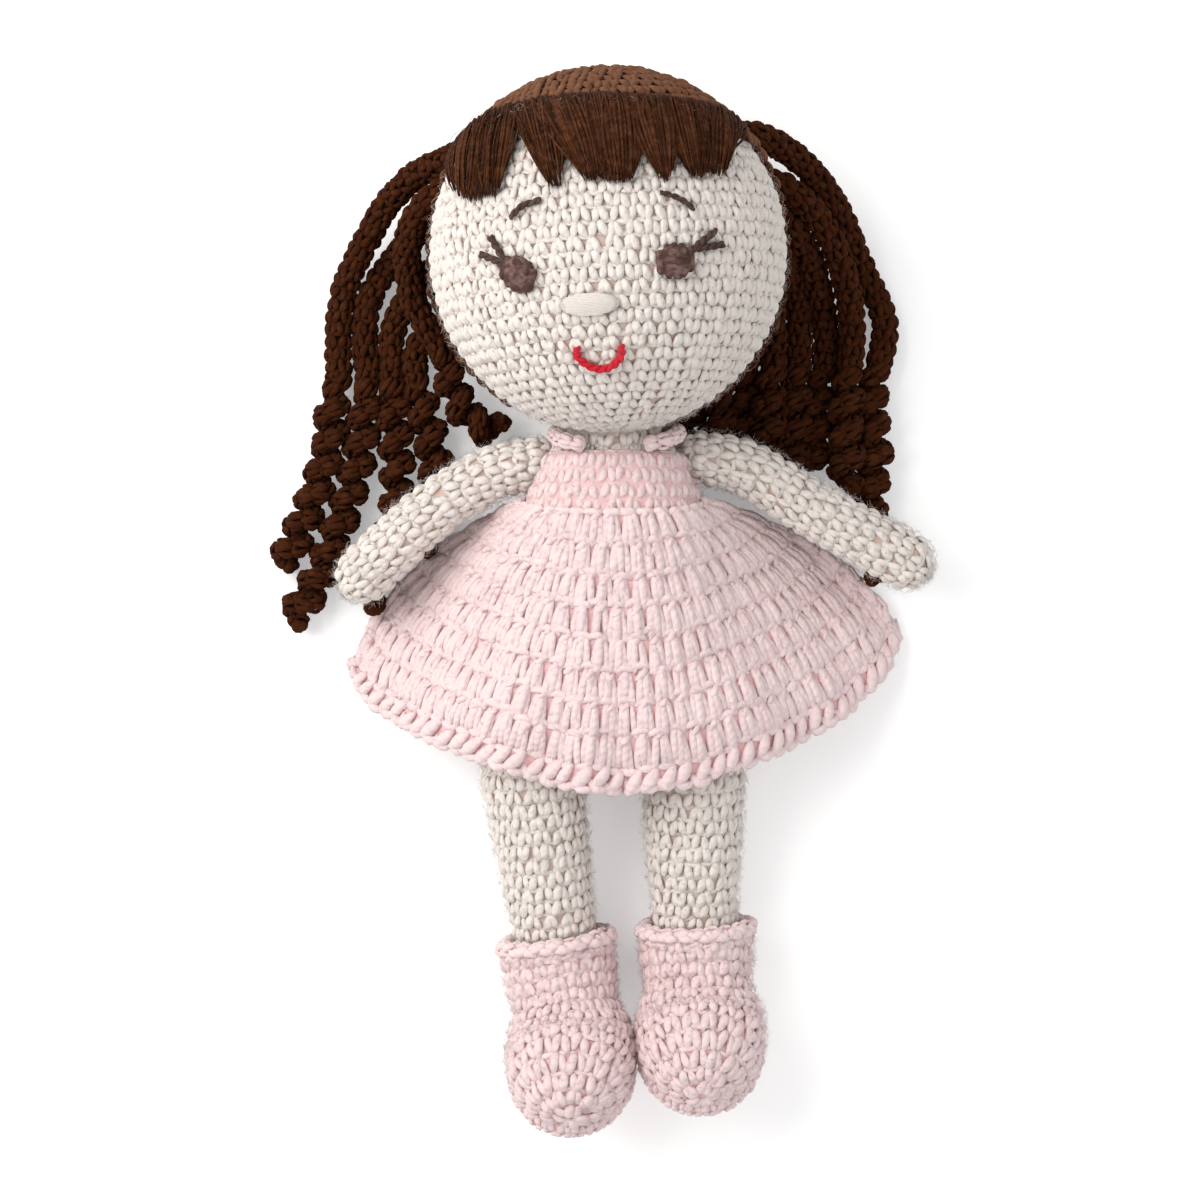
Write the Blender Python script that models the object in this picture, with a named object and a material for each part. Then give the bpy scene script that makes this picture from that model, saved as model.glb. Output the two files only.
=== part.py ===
"""Crocheted doll lying on its back: +X is the viewer's right, +Y the head's end, +Z out of the chest."""

import math

import bmesh
import bpy
from mathutils import Matrix, Vector

# Fits and cloth thicknesses, in metres.
GAP = 0.0003
RIDING_GAP = 0.0005
KNIT_WALL = 0.0018
REST_CUT = 0.0005

# Where the doll's own middle lies from the middle of its outline.
OUTLINE_MIDDLE = Vector((0.0005, -0.0022, 0.0))

# Past every piece, for cutters.
FAR = 0.25

# Head.
HEAD_RADIUS = 0.0482
HAIR_CAP_THICKNESS = 0.0022
CHIN_Y = 0.0458
HEAD_CENTRE = Vector((-0.0069, CHIN_Y + HEAD_RADIUS, HEAD_RADIUS + GAP + HAIR_CAP_THICKNESS - REST_CUT))
HEAD_SEGMENTS = 24
HEAD_RINGS = 14
CAP_OUTER_RADIUS = HEAD_RADIUS + GAP + HAIR_CAP_THICKNESS
# The cap's edge seen from the side, crown to nape, as shares of the head's radius:
# (above the middle, out of the face).
CAP_EDGE_SHARES = (
    (1.245, -1.245), (1.245, 1.245), (0.820, 0.830), (0.716, 0.643), (0.602, 0.207), (0.498, -0.041),
    (0.207, -0.124), (-0.622, -0.124), (-0.954, -0.373), (-1.245, -0.373), (-1.245, -1.245),
)

# Neck: it leans up from the shoulders to the middle of the head.
NECK_RADIUS = 0.0130
NECK_PIVOT = Vector((-0.0050, 0.0380, 0.0310))
NECK_REACH = 0.0165
NECK_END_ROOM = 0.0010
# The neck leans this far to each side inside the body.
NECK_LEAN = math.radians(8)
CAP_NECK_CLEARANCE = 0.0060
NECK_ROOM_CLEARANCE = 0.0004

# Body, from the neck down: (along, height of the middle, half width, half depth).
BODY_TOP_DOME = 0.0015
BODY_MIDDLE_X = -0.0055
BODY_SECTIONS = (
    (0.0455, 0.0325, 0.0110, 0.0095), (0.0420, 0.0315, 0.0170, 0.0140), (0.0340, 0.0300, 0.0210, 0.0170),
    (0.0220, 0.0280, 0.0245, 0.0190), (0.0080, 0.0265, 0.0280, 0.0200), (-0.0060, 0.0255, 0.0315, 0.0205),
    (-0.0175, 0.0250, 0.0345, 0.0205),
)
BODY_SEGMENTS = 20

# Hips: a roll across the body that the legs turn with.
HIP_AXIS = Vector((-0.0067, -0.0330, 0.0240))
HIP_RADIUS = 0.0175
HIP_SEGMENTS = 28
HIP_HALF_LENGTH = 0.0210

# Arms: points along the middle line from the shoulder to the hand, with the radius at each.
ARM_LEFT_LINE = (
    (-0.0272, 0.0380, 0.0270, 0.0074), (-0.0381, 0.0358, 0.0270, 0.0074), (-0.0466, 0.0314, 0.0268, 0.0076),
    (-0.0557, 0.0253, 0.0262, 0.0077), (-0.0663, 0.0160, 0.0252, 0.0079), (-0.0752, 0.0072, 0.0240, 0.0079),
)
ARM_RIGHT_LINE = (
    (0.0190, 0.0396, 0.0270, 0.0074), (0.0283, 0.0382, 0.0270, 0.0074), (0.0371, 0.0340, 0.0268, 0.0076),
    (0.0459, 0.0281, 0.0262, 0.0077), (0.0588, 0.0207, 0.0252, 0.0079), (0.0763, 0.0112, 0.0240, 0.0080),
)
ARM_SEGMENTS = 12
# The arm lifts this far off the table: the body and the yoke leave it room at these turns.
ARM_LIFTS = tuple(math.radians(turn) for turn in (25, 50))
ARM_WALL = 0.0015
ARM_ROOT_MOUTH = 0.0040
ARM_ROOM_CLEARANCE = 0.0008
YOKE_ARM_CLEARANCE = 0.0028

# Legs: points from the hip to the end inside the boot, with the radius at each.
LEG_LEFT_LINE = (
    (-0.0296, -0.0330, 0.0225, 0.0145), (-0.0281, -0.0500, 0.0205, 0.0144),
    (-0.0250, -0.0730, 0.0180, 0.0130), (-0.0222, -0.0920, 0.0152, 0.0117),
    (-0.0210, -0.1000, 0.0148, 0.0112), (-0.0203, -0.1060, 0.0147, 0.0107),
)
LEG_RIGHT_LINE = (
    (0.0168, -0.0330, 0.0225, 0.0147), (0.0171, -0.0500, 0.0205, 0.0145), (0.0173, -0.0730, 0.0174, 0.0131),
    (0.0177, -0.0870, 0.0154, 0.0119), (0.0179, -0.0950, 0.0149, 0.0114), (0.0182, -0.1005, 0.0147, 0.0107),
)
LEG_SEGMENTS = 14

# Boots: a shaft round the leg, and a foot that points down and forward.
BOOT_LEFT_CUFF_Y = -0.0955
BOOT_RIGHT_CUFF_Y = -0.0920
BOOT_LEFT_SOLE = Vector((-0.0172, -0.1335, 0.0172))
BOOT_RIGHT_SOLE = Vector((0.0190, -0.1276, 0.0170))
BOOT_SHAFT_RADIUS = 0.0152
BOOT_BORE_RADIUS = 0.0132
BOOT_BORE_END_CLEARANCE = 0.0006
CUFF_HEIGHT = 0.0024
CUFF_OUTER_RADIUS = 0.0160
FOOT_PITCH = math.radians(45)
FOOT_HALF_WIDTH = 0.0172
FOOT_HALF_LENGTH = 0.0218
FOOT_HALF_HEIGHT = 0.0165
FOOT_SEGMENTS, FOOT_RINGS = 18, 11
BOOT_SHAFT_SEGMENTS, BOOT_BORE_SEGMENTS = 18, 20
TOE_FILL_SEGMENTS, TOE_FILL_RINGS = 14, 9
ARM_FILL_SEGMENTS, ARM_FILL_RINGS = 14, 9
ARM_ROOM_SEGMENTS, ARM_ROOM_RINGS = 16, 10
ARM_LIFT_SEGMENTS, ARM_LIFT_DOME_RINGS = 12, 2
ARM_MOUTH_SEGMENTS = 12
NECK_SEGMENTS, NECK_ROOM_SEGMENTS = 20, 28
INNER_SEGMENTS_LESS, INNER_RINGS_LESS = 6, 2
CURVE_POINTS_PER_STEP = 8
THINNING_POINTS = 4
FOOT_MIDDLE_ABOVE_SOLE = 0.0085
SOLE_THICKNESS = 0.0048
SOLE_HALF_WIDTH = 0.0168
SOLE_HALF_LENGTH = 0.0212
TOE_FILL_WALL = 0.0022
TOE_FILL_SHIFT = 0.0050

# Dress.
DRESS_THICKNESS = 0.0022
YOKE_TOP_Y = 0.0395
YOKE_BOTTOM_Y = 0.0250
YOKE_LEVELS = 3
SKIRT_SEGMENTS = 18
SKIRT_LEVELS = 8
SKIRT_TOP_FRONT = Vector((BODY_MIDDLE_X, 0.0245, 0.0))
SKIRT_TOP_SAG = 0.0025
SKIRT_FLOOR = 0.0001
SIDE_FOLD_HEIGHT = 0.0035
SIDE_FOLD_TOP_HEIGHT = 0.0110
SIDE_BULGE = 0.0080
SIDE_BULGE_RISE = 0.6  # of the sideways bulge
HEM_WAVE = 0.0012
HEM_WAVES = 9
HEM_BAND = 0.0060
# How the cloth lies below the body, over the hips and the legs, in the body's own terms.
LOWER_SECTIONS = (
    (-0.0240, 0.0245, 0.0425, 0.0206), (-0.0330, 0.0240, 0.0450, 0.0207), (-0.0430, 0.0225, 0.0450, 0.0195),
    (-0.0560, 0.0200, 0.0450, 0.0182),
)
# The skirt's length down its middle, and the share left open between it and its hem band.
SKIRT_LENGTH = 0.0820
HEM_GAP_SHARE = 0.006
# Where the side folds rise from the table towards the yoke.
SIDE_FOLD_RISE_FROM = 0.0050
SIDE_FOLD_RISE_LENGTH = 0.0240
# The hem's line from the left corner to the right one.
HEM_LINE = (
    (-0.0795, -0.0215), (-0.0730, -0.0300), (-0.0600, -0.0375), (-0.0455, -0.0430),
    (-0.0203, -0.0510), (-0.0007, -0.0530), (0.0189, -0.0500), (0.0413, -0.0415),
    (0.0600, -0.0320), (0.0720, -0.0200), (0.0755, -0.0110),
)
SIDE_LEFT_LINE = (
    (-0.0290, 0.0330), (-0.0420, 0.0270), (-0.0635, 0.0025), (-0.0795, -0.0215),
    (-0.0860, -0.0600),
)
SIDE_RIGHT_LINE = (
    (0.0195, 0.0330), (0.0355, 0.0255), (0.0470, 0.0150), (0.0600, 0.0020),
    (0.0755, -0.0110), (0.0850, -0.0600),
)
# The strap's line from the yoke's left corner, behind the neck, to its right corner.
STRAP_LINE = (
    (-0.0150, 0.0428, 0.0470), (-0.0185, 0.0436, 0.0448), (-0.0208, 0.0449, 0.0385),
    (-0.0216, 0.0462, 0.0300), (-0.0200, 0.0464, 0.0200), (-0.0140, 0.0465, 0.0135),
    (-0.0050, 0.0465, 0.0115), (0.0040, 0.0465, 0.0135), (0.0105, 0.0470, 0.0200),
    (0.0125, 0.0468, 0.0300), (0.0118, 0.0453, 0.0385), (0.0090, 0.0438, 0.0448),
    (0.0050, 0.0428, 0.0470),
)
STRAP_WIDTH = 0.0036
STRAP_STEP = 0.0045

# Face. Each is laid on the head's ball, as shares of its radius: (across, up) from the ball's middle.
FACE_GAP = 0.0006
# A pad's top ring next to its foot ring, and how far the top's rim rounds down next to its depth.
PAD_TOP_SHARE, PAD_EDGE_SHARE = 0.86, 0.35
EYE_LEFT_SHARES = (-0.475, -0.199)
EYE_RIGHT_SHARES = (0.351, -0.137)
EYE_HALF_WIDTH = 0.0050
EYE_HALF_HEIGHT = 0.0043
EYE_DEPTH = 0.0011
EYE_LEFT_LEAN = math.radians(-20)
EYE_RIGHT_LEAN = math.radians(14)
NOSE_SHARES = (-0.100, -0.363)
NOSE_HALF_WIDTH = 0.0071
NOSE_HALF_HEIGHT = 0.0027
NOSE_DEPTH = 0.0013
NOSE_LEAN = math.radians(3)
FACE_YARN_STEP = 0.0016
YARN_DIAMETER = 0.0013
MOUTH_DIAMETER = 0.0018
MOUTH_SHARES = (
    (-0.170, -0.591), (-0.158, -0.649), (-0.073, -0.699), (0.006, -0.695), (0.066, -0.643), (0.071, -0.583),
)
BROW_LEFT_SHARES = (
    (-0.529, 0.098), (-0.465, 0.158), (-0.398, 0.176), (-0.361, 0.191),
)
BROW_RIGHT_SHARES = (
    (0.276, 0.224), (0.355, 0.205), (0.421, 0.172), (0.459, 0.135),
)
LASH_LEFT_SHARES = (
    (-0.685, -0.087), (-0.602, -0.108), (-0.643, 0.000),
)
LASH_RIGHT_SHARES = (
    (0.571, 0.031), (0.477, -0.062), (0.606, -0.025),
)

# Fringe: its top seam and its lower edge, as shares of the head's radius,
# (across, up) from the ball's middle.
FRINGE_TOP_SHARES = (
    (-0.840, 0.488), (-0.768, 0.602), (-0.456, 0.668), (-0.145, 0.695), (0.166, 0.695), (0.456, 0.674),
    (0.664, 0.660), (0.726, 0.622),
)
FRINGE_LOW_SHARES = (
    (-0.851, 0.373), (-0.720, 0.239), (-0.633, 0.232), (-0.506, 0.485), (-0.442, 0.560), (-0.384, 0.434),
    (-0.259, 0.249), (-0.220, 0.394), (-0.127, 0.286), (0.104, 0.270), (0.197, 0.378), (0.303, 0.276),
    (0.367, 0.357), (0.515, 0.313), (0.622, 0.353), (0.716, 0.529),
)
FRINGE_COLUMNS = 44
FRINGE_ROWS = 3
FRINGE_THICKNESS = 0.0020

# Hair strands: straight upper part, then a corkscrew.
HAIR_DIAMETER = 0.0060
CURL_CORD_DIAMETER = 0.0040
CURL_RADIUS = 0.0025
CURL_PITCH = 0.0105
CURL_POINTS = 8
HAIR_STEP = 0.0100
# The cap is a ball of flat faces, so a root is seated a little inside its nominal radius.
ROOT_SEATING = -0.0003
# Each strand: its route from the cap's edge to its tip, and the share of the way at which it starts to curl.
HAIR_ROUTES = {
    "hair_left_1": ((
        (-0.0465, 0.1223, 0.0470), (-0.0508, 0.1208, 0.0420), (-0.0597, 0.1185, 0.0310),
        (-0.0670, 0.1135, 0.0220), (-0.0716, 0.1083, 0.0160), (-0.0777, 0.0981, 0.0110),
        (-0.0818, 0.0901, 0.0060), (-0.0836, 0.0811, 0.0050), (-0.0841, 0.0716, 0.0050),
        (-0.0838, 0.0635, 0.0060), (-0.0857, 0.0549, 0.0070), (-0.0863, 0.0452, 0.0070),
        (-0.0891, 0.0343, 0.0070), (-0.0931, 0.0243, 0.0070), (-0.0968, 0.0157, 0.0070),
        (-0.0991, 0.0109, 0.0070),
    ), 0.63),
    "hair_left_2": ((
        (-0.0491, 0.1138, 0.0430), (-0.0524, 0.1122, 0.0430), (-0.0567, 0.1091, 0.0410),
        (-0.0611, 0.1037, 0.0360), (-0.0630, 0.0955, 0.0270), (-0.0622, 0.0865, 0.0220),
        (-0.0588, 0.0785, 0.0180), (-0.0544, 0.0719, 0.0150), (-0.0522, 0.0647, 0.0130),
        (-0.0495, 0.0563, 0.0120), (-0.0444, 0.0501, 0.0110), (-0.0381, 0.0481, 0.0100),
    ), 0.65),
    "hair_left_3": ((
        (-0.0563, 0.1067, 0.0270), (-0.0605, 0.1039, 0.0180), (-0.0649, 0.1001, 0.0110),
        (-0.0692, 0.0958, 0.0060), (-0.0733, 0.0902, 0.0050), (-0.0758, 0.0836, 0.0050),
        (-0.0764, 0.0745, 0.0050), (-0.0755, 0.0635, 0.0060), (-0.0760, 0.0543, 0.0070),
        (-0.0771, 0.0452, 0.0070), (-0.0794, 0.0343, 0.0070), (-0.0825, 0.0243, 0.0070),
        (-0.0860, 0.0143, 0.0070), (-0.0914, 0.0029, 0.0070), (-0.0971, -0.0051, 0.0070),
    ), 0.46),
    "hair_left_4": ((
        (-0.0459, 0.0834, 0.0160), (-0.0519, 0.0798, 0.0090), (-0.0577, 0.0761, 0.0060),
        (-0.0618, 0.0710, 0.0050), (-0.0620, 0.0635, 0.0060), (-0.0597, 0.0543, 0.0070),
        (-0.0574, 0.0457, 0.0070), (-0.0560, 0.0343, 0.0070), (-0.0571, 0.0243, 0.0070),
        (-0.0605, 0.0157, 0.0070),
    ), 0.39),
    "hair_left_5": ((
        (-0.0564, 0.0924, 0.0200), (-0.0633, 0.0870, 0.0090), (-0.0675, 0.0796, 0.0050),
        (-0.0692, 0.0716, 0.0050), (-0.0683, 0.0635, 0.0060), (-0.0680, 0.0543, 0.0070),
        (-0.0674, 0.0452, 0.0070), (-0.0668, 0.0343, 0.0070), (-0.0674, 0.0243, 0.0070),
        (-0.0697, 0.0157, 0.0070), (-0.0725, 0.0071, 0.0070), (-0.0760, -0.0009, 0.0070),
    ), 0.38),
    "hair_right_1": ((
        (0.0304, 0.1268, 0.0480), (0.0338, 0.1268, 0.0460), (0.0387, 0.1256, 0.0410),
        (0.0447, 0.1230, 0.0340), (0.0504, 0.1190, 0.0270), (0.0559, 0.1132, 0.0200),
        (0.0601, 0.1069, 0.0140), (0.0643, 0.0979, 0.0080), (0.0685, 0.0894, 0.0050),
        (0.0720, 0.0816, 0.0050), (0.0722, 0.0739, 0.0050), (0.0704, 0.0669, 0.0060),
        (0.0686, 0.0594, 0.0070), (0.0686, 0.0520, 0.0070), (0.0698, 0.0443, 0.0070),
        (0.0689, 0.0357, 0.0070), (0.0681, 0.0271, 0.0070), (0.0686, 0.0186, 0.0070),
        (0.0703, 0.0071, 0.0070),
    ), 0.61),
    "hair_right_2": ((
        (0.0350, 0.1153, 0.0380), (0.0412, 0.1145, 0.0360), (0.0487, 0.1093, 0.0310),
        (0.0547, 0.1021, 0.0260), (0.0591, 0.0936, 0.0190), (0.0619, 0.0840, 0.0130),
        (0.0627, 0.0752, 0.0100), (0.0621, 0.0666, 0.0100), (0.0609, 0.0580, 0.0110),
        (0.0606, 0.0506, 0.0110), (0.0612, 0.0427, 0.0110), (0.0603, 0.0327, 0.0110),
    ), 0.67),
    "hair_right_3": ((
        (0.0401, 0.1007, 0.0260), (0.0440, 0.0955, 0.0170), (0.0468, 0.0878, 0.0090),
        (0.0478, 0.0787, 0.0060), (0.0478, 0.0669, 0.0060), (0.0463, 0.0594, 0.0070),
        (0.0461, 0.0520, 0.0070), (0.0463, 0.0443, 0.0070), (0.0455, 0.0371, 0.0070),
        (0.0446, 0.0300, 0.0070),
    ), 0.54),
    "hair_right_4": ((
        (0.0384, 0.0891, 0.0220), (0.0396, 0.0821, 0.0150), (0.0402, 0.0740, 0.0100),
        (0.0402, 0.0666, 0.0100), (0.0387, 0.0587, 0.0100), (0.0387, 0.0513, 0.0100),
        (0.0382, 0.0384, 0.0100),
    ), 0.49),
    "hair_right_5": ((
        (0.0338, 0.0785, 0.0240), (0.0331, 0.0736, 0.0150), (0.0326, 0.0668, 0.0080),
        (0.0318, 0.0595, 0.0060), (0.0312, 0.0515, 0.0060), (0.0312, 0.0443, 0.0060),
        (0.0307, 0.0349, 0.0060),
    ), 0.38),
    "hair_right_6": ((
        (0.0384, 0.1080, 0.0320), (0.0442, 0.1041, 0.0280), (0.0492, 0.0977, 0.0200),
        (0.0526, 0.0898, 0.0120), (0.0550, 0.0812, 0.0060), (0.0556, 0.0736, 0.0050),
        (0.0553, 0.0670, 0.0050), (0.0533, 0.0584, 0.0050), (0.0530, 0.0504, 0.0050),
        (0.0525, 0.0395, 0.0050),
    ), 0.67),
    "hair_right_7": ((
        (0.0276, 0.0695, 0.0240), (0.0263, 0.0651, 0.0160), (0.0250, 0.0592, 0.0110),
        (0.0242, 0.0527, 0.0100), (0.0239, 0.0456, 0.0100), (0.0237, 0.0370, 0.0100),
    ), 0.43),
    "hair_right_8": ((
        (0.0198, 0.0624, 0.0220), (0.0179, 0.0588, 0.0130), (0.0158, 0.0534, 0.0070),
        (0.0143, 0.0457, 0.0070), (0.0138, 0.0383, 0.0070), (0.0138, 0.0331, 0.0070),
    ), 0.26),
}

# Colours, roughness.
CREAM = (0.86, 0.82, 0.76)
BROWN = (0.090, 0.040, 0.018)
EYE_BROWN = (0.060, 0.032, 0.020)
PINK = (0.85, 0.63, 0.64)
RED = (0.55, 0.03, 0.03)
FIBRE = (0.90, 0.90, 0.88)
YARN_ROUGHNESS = 0.95


def material(name, colour):
    """A matt material of this base colour."""
    made = bpy.data.materials.new(name)
    made.use_nodes = True
    shader = made.node_tree.nodes["Principled BSDF"]
    shader.inputs["Base Color"].default_value = (*colour, 1.0)
    shader.inputs["Roughness"].default_value = YARN_ROUGHNESS
    shader.inputs["Metallic"].default_value = 0.0
    return made


def mesh_object(name, points, faces, colour, helper=False):
    """A smooth mesh object in the scene; a helper is hidden in renders."""
    mesh = bpy.data.meshes.new(name)
    mesh.from_pydata([tuple(Vector(p) - OUTLINE_MIDDLE) for p in points], [], faces)
    skin = bmesh.new()
    skin.from_mesh(mesh)
    bmesh.ops.recalc_face_normals(skin, faces=skin.faces)
    if skin.calc_volume(signed=True) < 0:
        bmesh.ops.reverse_faces(skin, faces=skin.faces)
    skin.to_mesh(mesh)
    skin.free()
    made = bpy.data.objects.new(name, mesh)
    bpy.context.scene.collection.objects.link(made)
    for polygon in mesh.polygons:
        polygon.use_smooth = True
    if helper:
        made.hide_render = True
        made.display_type = "WIRE"
    else:
        mesh.materials.append(material(name, colour))
    return made


def boolean(target, cutter, operation="DIFFERENCE"):
    """Cut a helper from the target, or join it on."""
    step = target.modifiers.new(operation.title() + "_" + cutter.name, "BOOLEAN")
    step.operation = operation
    step.solver = "EXACT"
    step.object = cutter


def rings_to_faces(rings, around):
    """Faces of a closed skin: poles at both ends, rings of the same count between."""
    faces = []
    first = 1
    for i in range(around):
        faces.append((0, first + (i + 1) % around, first + i))
    for ring in range(rings - 1):
        low = first + ring * around
        high = low + around
        for i in range(around):
            j = (i + 1) % around
            faces.append((low + i, low + j, high + j, high + i))
    last = first + (rings - 1) * around
    end = last + around
    for i in range(around):
        faces.append((end, last + i, last + (i + 1) % around))
    return faces


def ball(name, centre, radii, segments, rings, colour=None, turn=None):
    """A ball or egg about centre, its poles along its own third axis."""
    turn = turn or Matrix.Identity(3)
    points = [Vector(centre) + turn @ Vector((0.0, 0.0, -radii[2]))]
    for ring in range(1, rings):
        up = -math.cos(math.pi * ring / rings)
        out = math.sin(math.pi * ring / rings)
        for i in range(segments):
            angle = math.tau * i / segments
            east, north = radii[0] * out * math.cos(angle), radii[1] * out * math.sin(angle)
            local = Vector((east, north, radii[2] * up))
            points.append(Vector(centre) + turn @ local)
    points.append(Vector(centre) + turn @ Vector((0.0, 0.0, radii[2])))
    faces = rings_to_faces(rings - 1, segments)
    return mesh_object(name, points, faces, colour, helper=colour is None)


def limb_rings(line, shrink, dome_rings):
    """Centre, direction and radius of each ring of a round-ended limb along line."""
    spots = [(Vector(p[:3]), p[3] - shrink) for p in line]
    rings = []
    for i, (centre, radius) in enumerate(spots):
        before = spots[max(i - 1, 0)][0]
        after = spots[min(i + 1, len(spots) - 1)][0]
        direction = (after - before).normalized()
        if i == 0:
            for k in range(1, dome_rings):
                angle = 0.5 * math.pi * (1 - k / dome_rings)
                back = direction * radius * math.sin(angle)
                rings.append((centre - back, direction, radius * math.cos(angle)))
        rings.append((centre, direction, radius))
        if i == len(spots) - 1:
            for k in range(1, dome_rings):
                angle = 0.5 * math.pi * k / dome_rings
                ahead = direction * radius * math.sin(angle)
                rings.append((centre + ahead, direction, radius * math.cos(angle)))
    first, last = spots[0], spots[-1]
    start = first[0] - rings[0][1] * first[1]
    end = last[0] + rings[-1][1] * last[1]
    return start, rings, end


def limb(name, line, shrink, segments, colour=None, dome_rings=4):
    """A round-ended limb that follows a line of centres and radii."""
    start, rings, end = limb_rings(line, shrink, dome_rings)
    points = [start]
    for centre, direction, radius in rings:
        across = Vector((0.0, 0.0, 1.0)).cross(direction).normalized()
        up = direction.cross(across)
        for i in range(segments):
            angle = math.tau * i / segments
            points.append(centre + across * radius * math.cos(angle) + up * radius * math.sin(angle))
    points.append(end)
    return mesh_object(name, points, rings_to_faces(len(rings), segments), colour, helper=colour is None)


def rod(name, start, end, radius, segments=24):
    """A hidden flat-ended cutter from start to end."""
    start, end = Vector(start), Vector(end)
    direction = (end - start).normalized()
    across = direction.orthogonal().normalized()
    up = direction.cross(across)
    points = []
    for centre in (start, end):
        points.append(centre)
    for centre in (start, end):
        for i in range(segments):
            angle = math.tau * i / segments
            points.append(centre + across * radius * math.cos(angle) + up * radius * math.sin(angle))
    faces = []
    for i in range(segments):
        j = (i + 1) % segments
        low, high = 2, 2 + segments
        faces.append((0, low + j, low + i))
        faces.append((1, high + i, high + j))
        faces.append((low + i, low + j, high + j, high + i))
    return mesh_object(name, points, faces, None, helper=True)


def block(name, low, high, turn=None, about=None):
    """A hidden box cutter between two corners, turned about a point."""
    turn = turn or Matrix.Identity(3)
    about = about or Vector()
    corners = [(x, y, z) for x in (low[0], high[0]) for y in (low[1], high[1]) for z in (low[2], high[2])]
    points = [about + turn @ (Vector(corner) - about) for corner in corners]
    faces = [(0, 1, 3, 2), (4, 6, 7, 5), (0, 4, 5, 1), (2, 3, 7, 6), (0, 2, 6, 4), (1, 5, 7, 3)]
    return mesh_object(name, points, faces, None, helper=True)


def along(line, share):
    """The point at this share of the way along a line of points, by their count."""
    place = share * (len(line) - 1)
    i = min(int(place), len(line) - 2)
    part = place - i
    return tuple(a + (b - a) * part for a, b in zip(line[i], line[i + 1]))


def smooth_line(line, step):
    """Points read at even steps from a smooth curve through the line's points."""
    points = [Vector(p) for p in line]
    dense = []
    for i in range(len(points) - 1):
        p0, p1, p2 = points[max(i - 1, 0)], points[i], points[i + 1]
        p3 = points[min(i + 2, len(points) - 1)]
        count = max(2, math.ceil((p2 - p1).length / step * CURVE_POINTS_PER_STEP))
        for k in range(count):
            t = k / count
            square = 2 * p0 - 5 * p1 + 4 * p2 - p3
            cube = 3 * p1 - p0 - 3 * p2 + p3
            dense.append(0.5 * (2 * p1 + (p2 - p0) * t + square * t * t + cube * t ** 3))
    dense.append(points[-1])
    lengths = [0.0]
    for a, b in zip(dense, dense[1:]):
        lengths.append(lengths[-1] + (b - a).length)
    count = max(2, round(lengths[-1] / step))
    found = []
    for k in range(count + 1):
        want = lengths[-1] * k / count
        i = next((j for j in range(len(lengths) - 1) if lengths[j + 1] >= want - 1e-9), len(lengths) - 2)
        part = (want - lengths[i]) / max(lengths[i + 1] - lengths[i], 1e-9)
        found.append(dense[i].lerp(dense[i + 1], part))
    return found


def tube(name, points, radii, colour, resolution):
    """A round-ended cord through the points, with its own radius at each."""
    curve = bpy.data.curves.new(name, "CURVE")
    curve.dimensions = "3D"
    curve.bevel_depth = 1.0
    curve.bevel_resolution = resolution
    curve.use_fill_caps = True
    spline = curve.splines.new("POLY")
    spline.points.add(len(points) - 1)
    for spot, point, radius in zip(spline.points, points, radii):
        spot.co = (*(Vector(point) - OUTLINE_MIDDLE), 1.0)
        spot.radius = radius
    made = bpy.data.objects.new(name, curve)
    bpy.context.scene.collection.objects.link(made)
    curve.materials.append(material(name, colour))
    return made


def hair_strand(name, route, curl_from):
    """A thick straight cord that runs on as a thinner corkscrew."""
    least_reach = CAP_OUTER_RADIUS + 0.5 * HAIR_DIAMETER + 2 * GAP
    straight = []
    for spot in smooth_line(route, HAIR_STEP):
        out = spot - HEAD_CENTRE
        straight.append(HEAD_CENTRE + out * max(1.0, least_reach / out.length))
    outward = (straight[0] - HEAD_CENTRE).normalized()
    facing = min(1.0, abs((straight[1] - straight[0]).normalized().dot(outward)))
    root_reach = CAP_OUTER_RADIUS + 0.5 * HAIR_DIAMETER * math.sqrt(1 - facing ** 2) + ROOT_SEATING
    straight[0] = HEAD_CENTRE + outward * root_reach
    start = round(curl_from * (len(straight) - 1))
    points = straight[:start + 1]
    radii = [0.5 * HAIR_DIAMETER] * len(points)
    length = HAIR_STEP * (len(straight) - 1 - start)
    turns = max(1, round(length / CURL_PITCH))
    count = turns * CURL_POINTS
    for k in range(1, count + 1):
        share = k / count
        place = start + share * (len(straight) - 1 - start)
        i = min(int(place), len(straight) - 2)
        centre = straight[i].lerp(straight[i + 1], place - i)
        direction = (straight[i + 1] - straight[i]).normalized()
        across = Vector((0.0, 0.0, 1.0)).cross(direction).normalized()
        up = direction.cross(across)
        reach = CURL_RADIUS * min(1.0, 3 * k / CURL_POINTS)
        angle = math.tau * k / CURL_POINTS
        points.append(centre + across * reach * math.cos(angle) + up * reach * math.sin(angle))
        thicker = (HAIR_DIAMETER - CURL_CORD_DIAMETER) * max(0.0, 1 - k / THINNING_POINTS)
        radii.append(0.5 * (CURL_CORD_DIAMETER + thicker))
    least = 1.0
    for i in range(start + CURL_POINTS, len(points)):
        for j in range(start + 4, i - CURL_POINTS // 2):
            least = min(least, (points[i] - points[j]).length - radii[i] - radii[j])
    length = sum((b - a).length for a, b in zip(points, points[1:]))
    gap_text = f"least gap to itself {least * 1000:.2f} mm"
    print(f"{name}: {len(points)} points, {length * 1000:.0f} mm long, {gap_text}")
    return tube(name, points, radii, BROWN, 1)


def on_head(across_share, up_share, radius):
    """The point of the face's side of a ball about the head's middle."""
    across, up = across_share * HEAD_RADIUS, up_share * HEAD_RADIUS
    out = math.sqrt(max(radius ** 2 - across ** 2 - up ** 2, 0.0))
    return HEAD_CENTRE + Vector((across, up, out))


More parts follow.
